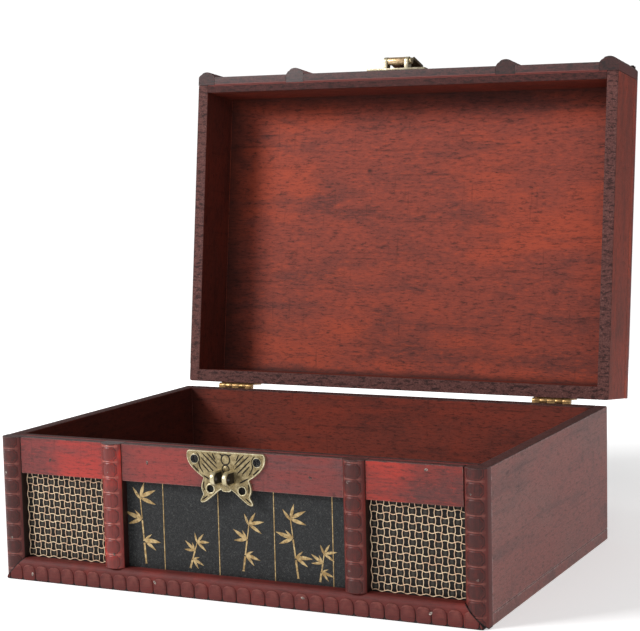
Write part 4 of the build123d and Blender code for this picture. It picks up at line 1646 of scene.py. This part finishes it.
@dataclass
class Weave:
    """Wires that curve to and from each other, so that wide and narrow cells take turns.

    It lies on xy, its front towards z.
    """

    start: Flat
    end: Flat
    column: float = 2.92
    row: float = 3.35
    sway: float = 0.34
    lift: float = 0.4
    depth: float = 0.1
    wire: float = 0.2
    sides: int = 5

    def strand(self, name: str, upright: bool, sign: int) -> Object:
        """One wire from the origin along x, or along y if upright.

        Args:
            name: its name.
            upright: whether it runs along the columns.
            sign: which way its first curve goes.

        Returns:
            The wire.
        """
        pitch, swing, axis = (
            (self.row, self.sway, 1) if upright else (self.column, self.lift, 0)
        )
        length = self.end[axis] - self.start[axis]
        steps = max(4, math.ceil(length / pitch * 4))
        piece = Bench.shape(
            name, bpy.ops.mesh.primitive_circle_add, vertices=self.sides, radius=self.wire,
            fill_type="NGON", rotation=(math.pi / 2, 0, 0) if upright else (0, math.pi / 2, 0),
        )

        def place(step: int) -> Vector:
            """Middle of the wire after some steps."""
            along = length * step / steps
            phase = math.pi * along / pitch
            aside, out = sign * swing * math.sin(phase), sign * self.depth * math.cos(phase)
            return Vector((-aside, along, -out)) if upright else Vector((along, aside, out))

        Bench.move(piece, Matrix.Translation(place(0)))
        with editing(piece):
            bpy.ops.mesh.select_all(action="SELECT")
            for step in range(steps):
                move = {"value": place(step + 1) - place(step)}
                bpy.ops.mesh.extrude_region_move(TRANSFORM_OT_translate=move)
            Bench.face_out()
        return piece

    def build(self, name: str) -> Object:
        """The whole mesh as one piece."""
        wires: list[Object] = []
        for upright, axis, pitch in ((True, 0, self.column), (False, 1, self.row)):
            count = math.floor((self.end[axis] - self.start[axis]) / pitch)
            pair = [self.strand(f"{name}_wire", upright, sign) for sign in (1, -1)]
            for index in range(count + 1):
                shift = (index * pitch, 0, 0) if upright else (0, index * pitch, 0)
                move = Matrix.Translation(shift)
                wires.append(Bench.copy(pair[index % 2], f"{name}_wire", move))
            for model in pair:
                bpy.data.objects.remove(model)
        piece = Bench.join(wires, name)
        Bench.move(piece, Matrix.Translation((*self.start, 0)))
        return piece


@dataclass
class MeshPanels:
    """The woven wire panels and the black cloth behind them."""

    sizes: BoxSizes = SIZES
    backing: MeshBacking = MeshBacking()
    wire: Wire = Wire()
    start_gap: float = 0.6
    end_gap: float = 0.1
    stand_off: float = 0.12

    def build(self, nodes: dict[str, Object]) -> None:
        """Model the meshes, and dress them and the panels behind them."""
        s = self.sizes
        front = facing_front(0, s.panel_front - self.stand_off, 0)
        level = s.lid_board_top + s.panel_thickness + self.stand_off
        top = Matrix.Translation((0, 0, level))
        low_y, high_y = s.board_front + s.moulding_width, s.back - s.moulding_width
        for side, word in SIDES:
            left, right = sorted((side * s.facing_half_width, side * s.strip_outer))
            for prefix, carrier, low, high, place, along in (
                ("front", Carrier.BODY, s.moulding_width + 0.7, s.body_rail_bottom + 0.3, front, 2),
                ("lid", Carrier.LID, s.lid_rail_top - 0.3, s.lid_moulding_bottom - 0.4, front, 2),
                ("top", Carrier.LID, low_y + 0.8, high_y - 0.4, top, 1),
            ):
                weave = Weave((left + self.start_gap, low), (right - self.end_gap, high))
                piece = weave.build(f"{prefix}_{word}_wire_mesh")
                Bench.move(piece, place)
                Bench.coat(piece, [self.wire.make(f"{piece.name}_finish", carrier)])
                Bench.hand_over(piece, carrier, Slot.MESH, smooth=80)
                node = f"{prefix}_{word}_woven_panel"
                cloth = self.backing.make(f"{node}_cloth", carrier, weave, along)
                Bench.cover(nodes[node], cloth)


@dataclass
class CentrePanels:
    """The black leatherette panels with gold rules and bamboo sprays."""

    sizes: BoxSizes = SIZES
    gold: Gilding = Gilding()
    leather: Leatherette = Leatherette()
    rules: tuple[float, ...] = (-36.1, -7.9, 19.8, 48.0)
    rule_width: float = 0.4
    foil: float = 0.12
    stem_halves: Flat = (0.62, 0.5)
    stem_taper: float = 0.12
    leaf_steps: int = 7
    leaf_width: float = 0.23
    leaves: tuple[Point, ...] = (
        (0.97, 68, 0.8), (0.95, 122, 0.7), (0.98, 20, 0.95), (0.97, -22, 0.9), (0.66, 158, 1.0),
        (0.66, 196, 0.85), (0.65, 128, 0.6), (0.35, -8, 0.95), (0.35, -40, 0.8), (0.34, 34, 0.55),
    )

    def leaf(self, name: str, length: float) -> Object:
        """One pointed leaf from the origin along x."""
        half, steps = length * self.leaf_width / 2, self.leaf_steps
        shares = [index / steps for index in range(steps + 1)]
        upper = [(length * share, half * math.sin(math.pi * share**0.8)) for share in shares]
        lower = [(x, -y * 0.8) for x, y in upper[1:-1]]
        return Bench.plate(name, lower + upper[::-1], self.foil)

    def stem(self, name: str, joint: float, index: int) -> Object:
        """One joint of a stem, the first at the origin."""
        foot, tip = (share - self.stem_taper * index for share in self.stem_halves)
        neck, top = tip * 0.8, joint * 0.92
        outline = [(-foot, 0), (foot, 0), (neck, 0.5), (tip, top), (-tip, top), (-neck, 0.5)]
        stem = Bench.plate(name, outline, self.foil)
        Bench.move(stem, Matrix.Translation((0, index * joint, 0)))
        return stem

    def spray(self, name: str, place: Flat, size: float, lean: float) -> Object:
        """A bamboo spray: a jointed stem and a few leaves.

        Args:
            name: its name.
            place: foot of the stem.
            size: length of the stem.
            lean: how far it leans, in degrees.

        Returns:
            The spray, flat on xy.
        """
        parts = [self.stem(f"{name}_stem", size / 3, index) for index in range(3)]
        model = self.leaf(f"{name}_leaf", 4.5 + size * 0.16)
        for height, angle, share in self.leaves:
            at = Matrix.Translation((0, size * height, 0))
            move = at @ turned(angle) @ Matrix.Scale(share, 4)
            parts.append(Bench.copy(model, f"{name}_leaf", move))
        bpy.data.objects.remove(model)
        piece = Bench.join(parts, name)
        Bench.move(piece, Matrix.Translation((*place, 0)) @ turned(lean))
        return piece

    def rule(self, name: str, x: float, low: float, high: float) -> Object:
        """One upright gold rule."""
        left, right = x - self.rule_width / 2, x + self.rule_width / 2
        outline = [(left, low), (right, low), (right, high), (left, high)]
        return Bench.plate(name, outline, self.foil)

    def build(self, nodes: dict[str, Object]) -> None:
        """Model the ornament and dress the panels."""
        s = self.sizes
        front = facing_front(0, s.panel_front, 0)
        top = Matrix.Translation((0, 0, s.lid_board_top + s.panel_thickness))
        low_y, high_y = s.board_front + s.moulding_width, s.back - s.moulding_width
        for prefix, carrier, place, span, sprays in (
            ("front", Carrier.BODY, front, (s.moulding_width, s.body_rail_bottom), (
                ((-46.0, 12.0), 31.0, 4.0), ((-23.0, 12.0), 13.0, -18.0), ((4.0, 13.0), 22.0, -9.0),
                ((31.0, 12.0), 27.0, 7.0), ((41.5, 11.6), 13.0, -10.0),
            )),
            ("lid", Carrier.LID, front, (s.lid_rail_top, s.lid_moulding_bottom), (
                ((-22.0, 83.0), 6.5, 10.0), ((6.0, 83.2), 6.5, -12.0), ((34.0, 83.0), 6.5, 8.0),
            )),
            ("top", Carrier.LID, top, (low_y, high_y), (
                ((-47.0, 5.0), 34.0, 4.0), ((-22.0, -52.0), 40.0, -6.0), ((6.0, 12.0), 38.0, 8.0),
                ((34.0, -40.0), 36.0, -7.0),
            )),
        ):
            name, node = f"{prefix}_ornament", f"{prefix}_centre_panel"
            parts = [self.rule(f"{name}_rule", x, *span) for x in self.rules]
            parts += [self.spray(f"{name}_spray", *spray) for spray in sprays]
            piece = Bench.join(parts, name)
            Bench.move(piece, place)
            Bench.coat(piece, [self.gold.make(f"{name}_gold", carrier)])
            Bench.hand_over(piece, carrier, Slot.LEATHER)
            Bench.cover(nodes[node], self.leather.make(f"{node}_cover", carrier))


def on_barrel(middle: Vector, normal: Vector) -> bool:
    """Whether a face lies on the rolled barrel of the hasp's flap."""
    return math.hypot(middle.y - SIZES.hasp_y, middle.z - SIZES.hasp_z) < SIZES.barrel_radius


@dataclass
class MetalCopy:
    """A metal piece that keeps its part's shape, with its edges softened and rubbed bright."""

    node: str
    carrier: Carrier
    slot: Slot
    finish: Metal
    edge: Metal
    rounding: float = 0.22
    rubbed: Optional[Test] = None
    merge: float = 0.004
    least_flat: float = 0.8

    def build(self, nodes: dict[str, Object]) -> None:
        """Copy the part, soften its edges and dress it."""
        back = self.carrier.swing().inverted() @ Matrix.Scale(1 / MM, 4)
        piece = Bench.copy(nodes[self.node], f"{self.node}_metal", back)
        piece.parent = None
        for key in list(piece.keys()):
            del piece[key]
        with editing(piece):
            bpy.ops.mesh.select_all(action="SELECT")
            bpy.ops.mesh.remove_doubles(threshold=self.merge)
            bpy.ops.mesh.dissolve_limited(angle_limit=math.radians(0.5))
            Bench.face_out()

        def facing(normal: Vector) -> tuple[float, ...]:
            """A normal, rounded so that it can be looked up."""
            return tuple(round(share, 2) for share in normal)

        faces = piece.data.polygons
        flats = {facing(face.normal) for face in faces if face.area > self.least_flat}
        Bench.round_edges(piece, self.rounding, angle=40)
        Bench.coat(piece, [
            self.finish.make(f"{self.node}_finish", self.carrier),
            self.edge.make(f"{self.node}_edge", self.carrier),
        ])
        Bench.paint(piece, 1, self.rubbed or (lambda middle, normal: facing(normal) not in flats))
        Bench.hand_over(piece, self.carrier, self.slot, self.node)


@dataclass
class ButterflyLatch:
    """The engraved butterfly plate with its two staple ears.

    It lies on xy with its top along x, its face towards z.
    """

    thickness: float = 1.2
    top: float = 66.5
    border: float = 0.42
    sunk: float = 0.2
    engraving: float = 0.3
    stroke_half: float = 0.36
    thorax: Flat = (0.0, -3.4)
    head: Flat = (0.0, -7.5)
    head_radius: float = 1.45
    hole: Flat = (7.9, -16.7)
    hole_radius: float = 1.7
    rim_radius: float = 0.32
    shadow_disc_depth: float = 0.2
    ear_offset: float = 3.05
    ear_thickness: float = 2.2
    ear_height: float = 6.4
    ear_reach: float = 8.5
    ear_drop: float = 11.0
    eye: Flat = (5.9, 0.0)
    eye_radius: float = 1.2
    runs: tuple[tuple[Flat, ...], ...] = (
        ((0.0, 0.0), (18.2, 0.0)),
        ((18.2, 0.0), (18.9, -0.3), (19.35, -1.2), (19.25, -4.0), (17.6, -7.0), (14.6, -9.7),
         (11.3, -12.0)),
        ((11.3, -12.0), (11.6, -12.9), (12.35, -15.2), (12.3, -17.4), (11.5, -19.2)),
        ((11.5, -19.2), (12.2, -20.6), (13.0, -21.9), (12.9, -22.8), (12.2, -23.1), (11.0, -22.8),
         (9.6, -22.0), (6.6, -19.7), (4.0, -17.6), (2.4, -16.6)),
        ((2.4, -16.6), (2.1, -17.2), (1.3, -17.6), (0.0, -17.7)),
    )
    strokes: tuple[tuple[Flat, ...], ...] = (
        ((11.6, -1.2), (8.0, -4.3), (4.4, -7.4)),
        ((9.2, -0.9), (6.8, -3.1), (4.5, -5.4)),
        ((6.5, -0.9), (6.0, -2.4), (5.1, -3.7)),
        ((12.3, -3.0), (9.0, -6.2), (5.6, -9.4)),
        ((11.9, -5.6), (10.1, -7.4), (8.1, -9.4)),
        ((16.6, -6.6), (15.1, -8.0), (13.4, -9.3)),
        ((14.6, -1.0), (13.2, -2.7), (13.3, -5.9), (12.5, -8.0), (11.3, -9.7)),
        ((11.2, -11.0), (8.9, -12.2), (6.6, -13.4)),
        ((2.9, -1.0), (1.8, -1.5), (0.7, -1.1)),
        ((12.2, -21.9), (10.7, -20.9), (9.4, -19.9)),
        ((11.0, -13.6), (11.3, -15.4), (11.0, -17.6)),
    )

    @property
    def field_level(self) -> float:
        """Height of the sunk field."""
        return self.thickness - self.sunk

    def outline(self) -> list[Flat]:
        """Corners of the butterfly, counter-clockwise."""
        right = [point for run in self.runs for point in flowing(run)] + [self.runs[-1][-1]]
        left = [(-x, y) for x, y in right[1:-1]][::-1]
        return (right + left)[::-1]

    def field_outline(self) -> list[Flat]:
        """Corners of the sunk field, a border's width inside the plate's outline."""
        border = self.border
        return [
            (x - run.y * border, y + run.x * border)
            for x, y, run in directions(self.outline(), closed=True)
        ]

    def engravings(self, name: str) -> list[Object]:
        """The cutters for the engraved lines of both wings and for the two rings."""
        parts: list[Object] = []
        for side in (1, -1):
            for stroke in self.strokes:
                line = [(side * x, y) for x, y in stroke]
                part = Bench.plate(name, ribbon(line, self.stroke_half), 1.2)
                Bench.move(part, Matrix.Translation((0, 0, self.field_level - self.engraving)))
                parts.append(part)
        parts.append(Bench.ring(name, (*self.thorax, self.field_level), 2.1, 0.32, 1.0, 1.06))
        parts.append(Bench.ring(name, (*self.head, self.field_level), 1.7, 0.3))
        return parts

    def plate(self, materials: Sequence[Material]) -> Object:
        """The plate with a rubbed border, a sunk field and engraved lines."""
        plate = Bench.plate("butterfly_latch", self.outline(), self.thickness)
        face = self.thickness - 0.01
        Bench.round_edges(plate, 0.12, 1, angle=60, test=lambda a, b: min(a.z, b.z) > face)
        Bench.coat(plate, materials, 1)
        pocket = Bench.plate("latch_pocket", self.field_outline(), 1.0)
        Bench.move(pocket, Matrix.Translation((0, 0, self.field_level)))
        Bench.carve(plate, pocket, materials[0])
        for cutter in self.engravings("latch_engraving"):
            Bench.carve(plate, cutter, materials[2])
        return plate

    def ear(self, name: str, materials: Sequence[Material]) -> Object:
        """One staple ear, drawn with its reach along x and its thickness along z."""
        half, thickness = self.ear_height / 2, self.ear_thickness
        reach = self.ear_reach - half
        arch = [math.pi * (index / 14 - 0.5) for index in range(15)]
        round_end = [(reach + half * math.cos(turn), half * math.sin(turn)) for turn in arch]
        piece = Bench.plate(name, [(0.0, -half), *round_end, (0.0, half)], thickness)
        Bench.round_edges(piece, 0.5, 3, angle=50, test=lambda a, b: max(a.x, b.x) > 0.1)
        with editing(piece):
            steps = ((0.12, 0.0), (0.2, -0.22))
            Bench.inset(piece, lambda c, n: abs(n.z) > 0.99, steps, use_individual=True)
        Bench.coat(piece, materials, 1)
        # the dished faces of the ears take the dark patina, partly patina in the dish and partly painted shade on these
        # faces
        Bench.paint(piece, 2, lambda c, n: abs(n.z) > 0.9 and 0.1 < c.z < thickness - 0.1)
        middle = (*self.eye, thickness / 2)
        eye = Bench.rod(f"{name}_eye", middle, self.eye_radius, 4 * thickness, 24)
        Bench.carve(piece, eye, materials[2])
        return piece

    def build(self) -> None:
        """Model the latch and dress it."""
        metals = (
            (Metal.BRONZE, "bronze"), (Metal.BRIGHT, "border"), (Metal.ENGRAVED, "patina"),
            (Metal.SHADOW_BLACK, "shadow"),
        )
        materials = [metal.make(f"latch_{word}", Carrier.BODY) for metal, word in metals]
        plate = self.plate(materials)
        parts = [plate]
        for side in (1, -1):
            x, y = side * self.hole[0], self.hole[1]
            drill = Bench.rod("latch_drill", (x, y, 0.6), self.hole_radius, 4, 28)
            Bench.carve(plate, drill, materials[2])
            # a black disc behind each hole paints in the shade there, where the wood behind the holes lies in the dark
            radius = self.hole_radius + 0.05
            shadow_disc = Bench.rod("latch_shadow_disc", (x, y, 0.15), radius, self.shadow_disc_depth, 28)
            Bench.coat(shadow_disc, materials, 3)
            radius = self.hole_radius + self.rim_radius
            middle = (x, y, self.thickness - 0.1)
            ring = Bench.ring("latch_ring", middle, radius, self.rim_radius, 0.95)
            Bench.coat(ring, materials, 1)
            ear = self.ear("latch_ear", materials)
            start = side * self.ear_offset + self.ear_thickness / 2
            Bench.move(ear, axes((0, 0, 1), (0, 1, 0), (-1, 0, 0), (start, -self.ear_drop, 0)))
            parts += [shadow_disc, ring, ear]
        middle = (*self.head, self.thickness - 0.3)
        head = Bench.ball("latch_head", middle, self.head_radius, (1, 1, 0.35), 24, 12)
        Bench.coat(head, materials)
        piece = Bench.join([*parts, head], "butterfly_latch")
        Bench.move(piece, facing_front(SIZES.latch_x, SIZES.front, self.top))
        Bench.hand_over(piece, Carrier.BODY, Slot.BRONZE, "butterfly_latch_plate", smooth=35.0)


@dataclass
class CrossScrews:
    """Some cross-slot screws of one size, in one piece. One is modelled and the rest are copied."""

    node: str
    carrier: Carrier
    places: Sequence[Point]
    back: bool = False
    head: float = 2.15
    length: float = 4.8
    shank: float = 0.9
    sunk: float = 0.4
    slot_depth: float = 0.12
    slot_arm: float = 0.66
    slot_half: float = 0.15

    def screw(self, materials: Sequence[Material]) -> Object:
        """One screw, its head's underside at xy and its slot towards z."""
        cone, neck_top = self.head - self.shank, -self.sunk
        neck = Bench.shape(
            "screw_neck", bpy.ops.mesh.primitive_cone_add, vertices=24, radius1=self.shank,
            radius2=self.head, depth=cone, location=(0, 0, neck_top - cone / 2),
        )
        shaft = self.length - cone - self.sunk
        middle = (0, 0, neck_top - cone - shaft / 2 + 0.05)
        shank = Bench.rod("screw_shank", middle, self.shank, shaft, 16)
        cap = Bench.ball("screw_head", (0, 0, -0.1), self.head, (1, 1, 0.2), 28, 14)
        ring = Bench.ring("screw_ring", (0, 0, -0.02), self.head - 0.06, 0.13, 0.8)
        for part, index in ((cap, 0), (ring, 1), (neck, 0), (shank, 0)):
            Bench.coat(part, materials, index)
        arm, half = self.head * self.slot_arm, self.head * self.slot_half
        # the slots are lined with the near-black, painted shade
        for x, y in ((arm, half), (half, arm)):
            cutter = Bench.block("screw_slot", (-x, -y, -self.slot_depth), (x, y, 1.0))
            Bench.carve(cap, cutter, materials[2])
        return Bench.join([cap, ring, neck, shank], self.node)

    def build(self) -> None:
        """Model the screws and dress them."""
        metals = ((Metal.STEEL, "steel"), (Metal.BRIGHT, "rim"), (Metal.SCREW_SLOT, "slot"))
        finishes = [metal.make(f"{self.node}_{word}", self.carrier) for metal, word in metals]
        moves = []
        for index, place in enumerate(self.places):
            stand = facing_front(*place)
            if self.back:
                stand = axes((-1, 0, 0), (0, 0, 1), (0, 1, 0), place)
            moves.append(stand @ turned(18 + 37 * index))
        piece = Bench.spread(self.screw(finishes), f"{self.node}_metal", moves)
        Bench.hand_over(piece, self.carrier, Slot.STEEL, self.node)


@dataclass
class TrimPins:
    """Small bent trim pins that hold the mouldings, driven in a little askew."""

    sizes: BoxSizes = SIZES
    rails: tuple[Flat, ...] = ((-93.8, 57.1), (-41.6, 59.0), (39.6, 57.6), (93.1, 64.5))
    strips: tuple[Flat, ...] = ((-60.4, 54.2), (-58.9, 16.8), (58.9, 57.3), (58.9, 19.6))
    corners: tuple[Flat, ...] = ((-115.0, 20.0), (-116.6, 50.0), (114.1, 56.1), (116.0, 20.6))
    bottom: tuple[Flat, ...] = ((-104.1, 3.3), (-37.9, 5.5), (36.2, 5.6), (95.4, 4.9))
    bottom_out: float = 7.33
    sunk: float = 0.1

    def pin(self) -> Object:
        """One pin, its head on xy: a flat oval ring that stands in for the shade of the dent round the head, with a
        bent end.
        """
        rim = Bench.ring("pin_dent_shade", (0, 0, 0), 0.4, 0.15, 0.5, 1.7)
        head = Bench.ball("pin_head", (0.08, 0.15, 0.02), 0.26, (0.8, 1.7, 0.6), 12, 8)
        return Bench.join([rim, head], "pin")

    def arc(self, x: float, middle: float, width: float, rise: float) -> float:
        """How far out a pin at x sits on a half-round moulding.

        Args:
            x: where the pin is.
            middle: the moulding's middle line, on the right.
            width: the moulding's width.
            rise: its rise.

        Returns:
            The distance from the front board.
        """
        radius = (width**2 / 4 + rise**2) / (2 * rise)
        out = math.sqrt(radius**2 - (abs(x) - middle) ** 2)
        return self.sizes.rail_thickness + rise - radius + out - self.sunk

    def build(self) -> None:
        """Model the pins and dress them."""
        s = self.sizes
        strip, corner = (s.strip_width, s.strip_rise), (s.moulding_width, s.moulding_rise)
        spots = [
            *((x, z, s.rail_thickness) for x, z in self.rails),
            *((x, z, self.arc(x, s.strip_x, *strip)) for x, z in self.strips),
            *((x, z, self.arc(x, s.corner_x, *corner)) for x, z in self.corners),
            *((x, z, self.bottom_out) for x, z in self.bottom),
        ]
        moves = [
            facing_front(x, s.board_front - out, z) @ turned(-35 + 47 * index)
            for index, (x, z, out) in enumerate(spots)
        ]
        piece = Bench.spread(self.pin(), "front_trim_pins", moves)
        Bench.coat(piece, [Metal.PIN.make("trim_pins_steel", Carrier.BODY)])
        Bench.hand_over(piece, Carrier.BODY, Slot.STEEL)


@dataclass
class Fittings:
    """The butterfly latch, the hasp, the hinges and their screws."""

    sizes: BoxSizes = SIZES
    latch_screws: tuple[float, float, float] = (15.5, 1.2, 62.7)
    hasp_screws: tuple[float, float, float] = (12.0, 1.0, 71.8)
    hinge_screw: tuple[float, float] = (1.7, 6.0)
    hinge_screw_step: float = 6.0
    hinge_screw_up: float = 5.85
    leaf_thickness: float = 0.9

    def hinges(self, nodes: dict[str, Object]) -> None:
        """Dress the leaves and pins of both hinges."""
        for _, word in SIDES:
            for part, carrier, rounding in (
                ("body_leaf", Carrier.BODY, 0.15), ("lid_leaf", Carrier.LID, 0.15),
                ("pin", Carrier.BODY, 0.12),
            ):
                node = f"{word}_hinge_{part}"
                metals = (Metal.BRASS, Metal.BRIGHT_BRASS)
                MetalCopy(node, carrier, Slot.BRASS, *metals, rounding).build(nodes)

    def screws(self) -> None:
        """Model and dress the screws of the latch, the hasp and the hinges."""
        s = self.sizes
        for node, carrier, (aside, sunk, z) in (
            ("latch_plate_screws", Carrier.BODY, self.latch_screws),
            ("hasp_plate_screws", Carrier.LID, self.hasp_screws),
        ):
            places = [(s.latch_x + x, s.front - sunk, z) for x in (-aside, aside)]
            CrossScrews(node, carrier, places).build()
        step, y = self.hinge_screw_step, s.back + self.leaf_thickness
        middles = [side * s.hinge_offset + x for side, _ in SIDES for x in (-step, step)]
        for carrier, way in ((Carrier.BODY, -1), (Carrier.LID, 1)):
            places = [(x, y, s.hinge_z + way * self.hinge_screw_up) for x in middles]
            node = f"hinge_{carrier.value}_screws"
            CrossScrews(node, carrier, places, True, *self.hinge_screw).build()

    def build(self, nodes: dict[str, Object]) -> None:
        """Model and dress the fittings."""
        ButterflyLatch().build()
        for node, carrier, metals, rubbed in (
            ("hasp_plate", Carrier.LID, (Metal.PALE, Metal.BRIGHT), None),
            ("hasp_pin", Carrier.LID, (Metal.BRONZE, Metal.BRIGHT), None),
            # the flap's darker bronze is painted shade; its barrel's paler bronze is partly rubbed wear and partly
            # painted light
            ("hasp_flap", Carrier.HASP, (Metal.DARK, Metal.BARREL), on_barrel),
        ):
            MetalCopy(node, carrier, Slot.BRONZE, *metals, rubbed=rubbed).build(nodes)
        self.hinges(nodes)
        self.screws()
        TrimPins().build()


@dataclass
class Studio:
    """Pale floor, soft lights and the camera."""

    camera_place: Point = (0.35910, -0.71344, 0.19921)
    yaw: float = 0.4376
    pitch: float = -0.1119
    roll: float = -0.0205
    lens: float = 94.84
    shift: Flat = (-0.0631, 0.0245)
    clip: Flat = (0.02, 30.0)
    ambient: float = 0.34
    seen: float = 1.05
    floor_radius: float = 0.75
    papers: tuple[Colour, Colour] = ((246, 246, 246), (249, 249, 249))

    def camera(self) -> None:
        """Set the camera where the photograph was taken."""
        camera = bpy.data.cameras.new("camera")
        camera.lens = self.lens
        camera.sensor_width = 36.0
        camera.sensor_fit = "HORIZONTAL"
        camera.shift_x, camera.shift_y = self.shift
        camera.clip_start, camera.clip_end = self.clip
        across, along = math.cos(self.yaw), math.sin(self.yaw)
        flat, rise = math.cos(self.pitch), math.sin(self.pitch)
        ahead, level = Vector((-along * flat, across * flat, rise)), Vector((across, along, 0))
        up = level.cross(ahead)
        right = level * math.cos(self.roll) + up * math.sin(self.roll)
        top = up * math.cos(self.roll) - level * math.sin(self.roll)
        place = bpy.data.objects.new("camera", camera)
        place.matrix_world = axes(right, top, -ahead, self.camera_place)
        bpy.context.scene.collection.objects.link(place)
        bpy.context.scene.camera = place

    def light(self, name: str, place: Point, target: Point, size: Flat, power: float) -> None:
        """One soft panel light.

        Args:
            name: its name.
            place: where it hangs.
            target: what it points at.
            size: its width and height.
            power: its power in watts.
        """
        lamp = bpy.data.lights.new(name, "AREA")
        lamp.shape = "RECTANGLE"
        lamp.size, lamp.size_y = size
        lamp.energy = power
        holder = bpy.data.objects.new(name, lamp)
        holder.location = place
        aim = Vector(target) - Vector(place)
        holder.rotation_euler = aim.to_track_quat("-Z", "Y").to_euler()
        bpy.context.scene.collection.objects.link(holder)

    def floor(self) -> None:
        """Lay a round pale floor that brightens towards its rim."""
        floor = Bench.shape(
            "floor", bpy.ops.mesh.primitive_circle_add, vertices=96, radius=self.floor_radius,
            fill_type="NGON",
        )
        paper = Graph("floor_paper", Carrier.BODY)
        squares = [paper.math("POWER", axis, 2.0) for axis in paper.axes[:2]]
        away = paper.math("SQRT", paper.math("ADD", *squares))
        tone = paper.mix(paper.step(paper.noise(0.4, 3.0, 0.6), 0.3, 0.7), *self.papers)
        glow = paper.step(away, 230.0, 650.0, 0.42, 1.05)
        paper.surface(tone, 0.95, Emission_Color=(1, 1, 1, 1), Emission_Strength=glow)
        Bench.coat(floor, [paper.material])
        floor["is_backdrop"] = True

    def surroundings(self) -> None:
        """White surroundings whose soft light is dimmer than they look."""
        world = bpy.data.worlds.new("studio")
        world.use_nodes = True
        tree = world.node_tree
        background = tree.nodes["Background"]
        background.inputs[0].default_value = (1, 1, 1, 1)
        path = tree.nodes.new("ShaderNodeLightPath")
        dim = tree.nodes.new("ShaderNodeMath")
        dim.operation = "MULTIPLY_ADD"
        tree.links.new(path.outputs["Is Camera Ray"], dim.inputs[0])
        dim.inputs[1].default_value = self.seen - self.ambient
        dim.inputs[2].default_value = self.ambient
        tree.links.new(dim.outputs[0], background.inputs[1])
        bpy.context.scene.world = world

    def build(self) -> None:
        """Set up the floor, the lights, the surroundings and the camera."""
        self.floor()
        self.surroundings()
        bpy.context.scene.view_settings.view_transform = "Standard"
        self.light("key", (-1.25, -1.2, 1.05), (0, -0.02, 0.08), (0.6, 0.6), 31.0)
        self.light("fill", (0.9, -1.5, 0.7), (0, 0, 0.1), (1.2, 0.9), 6.5)
        self.camera()


def save_sizes(packed: object, shown: object) -> None:
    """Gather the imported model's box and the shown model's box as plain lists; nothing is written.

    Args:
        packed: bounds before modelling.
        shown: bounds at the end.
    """
    plain = {name: [[float(n) for n in corner] for corner in box] for name, box in (("cad", packed), ("visual", shown))}


def main() -> None:
    """Build every sub-assembly in order and report each piece."""
    logging.basicConfig(level=logging.INFO, format="%(message)s")
    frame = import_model()
    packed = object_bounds()
    nodes = frame["nodes"]
    Studio().build()
    Case().build()
    CarvedFrames().build()
    MeshPanels().build(nodes)
    CentrePanels().build(nodes)
    Fittings().build(nodes)
    save_sizes(packed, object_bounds())


if __name__ == "__main__":
    main()
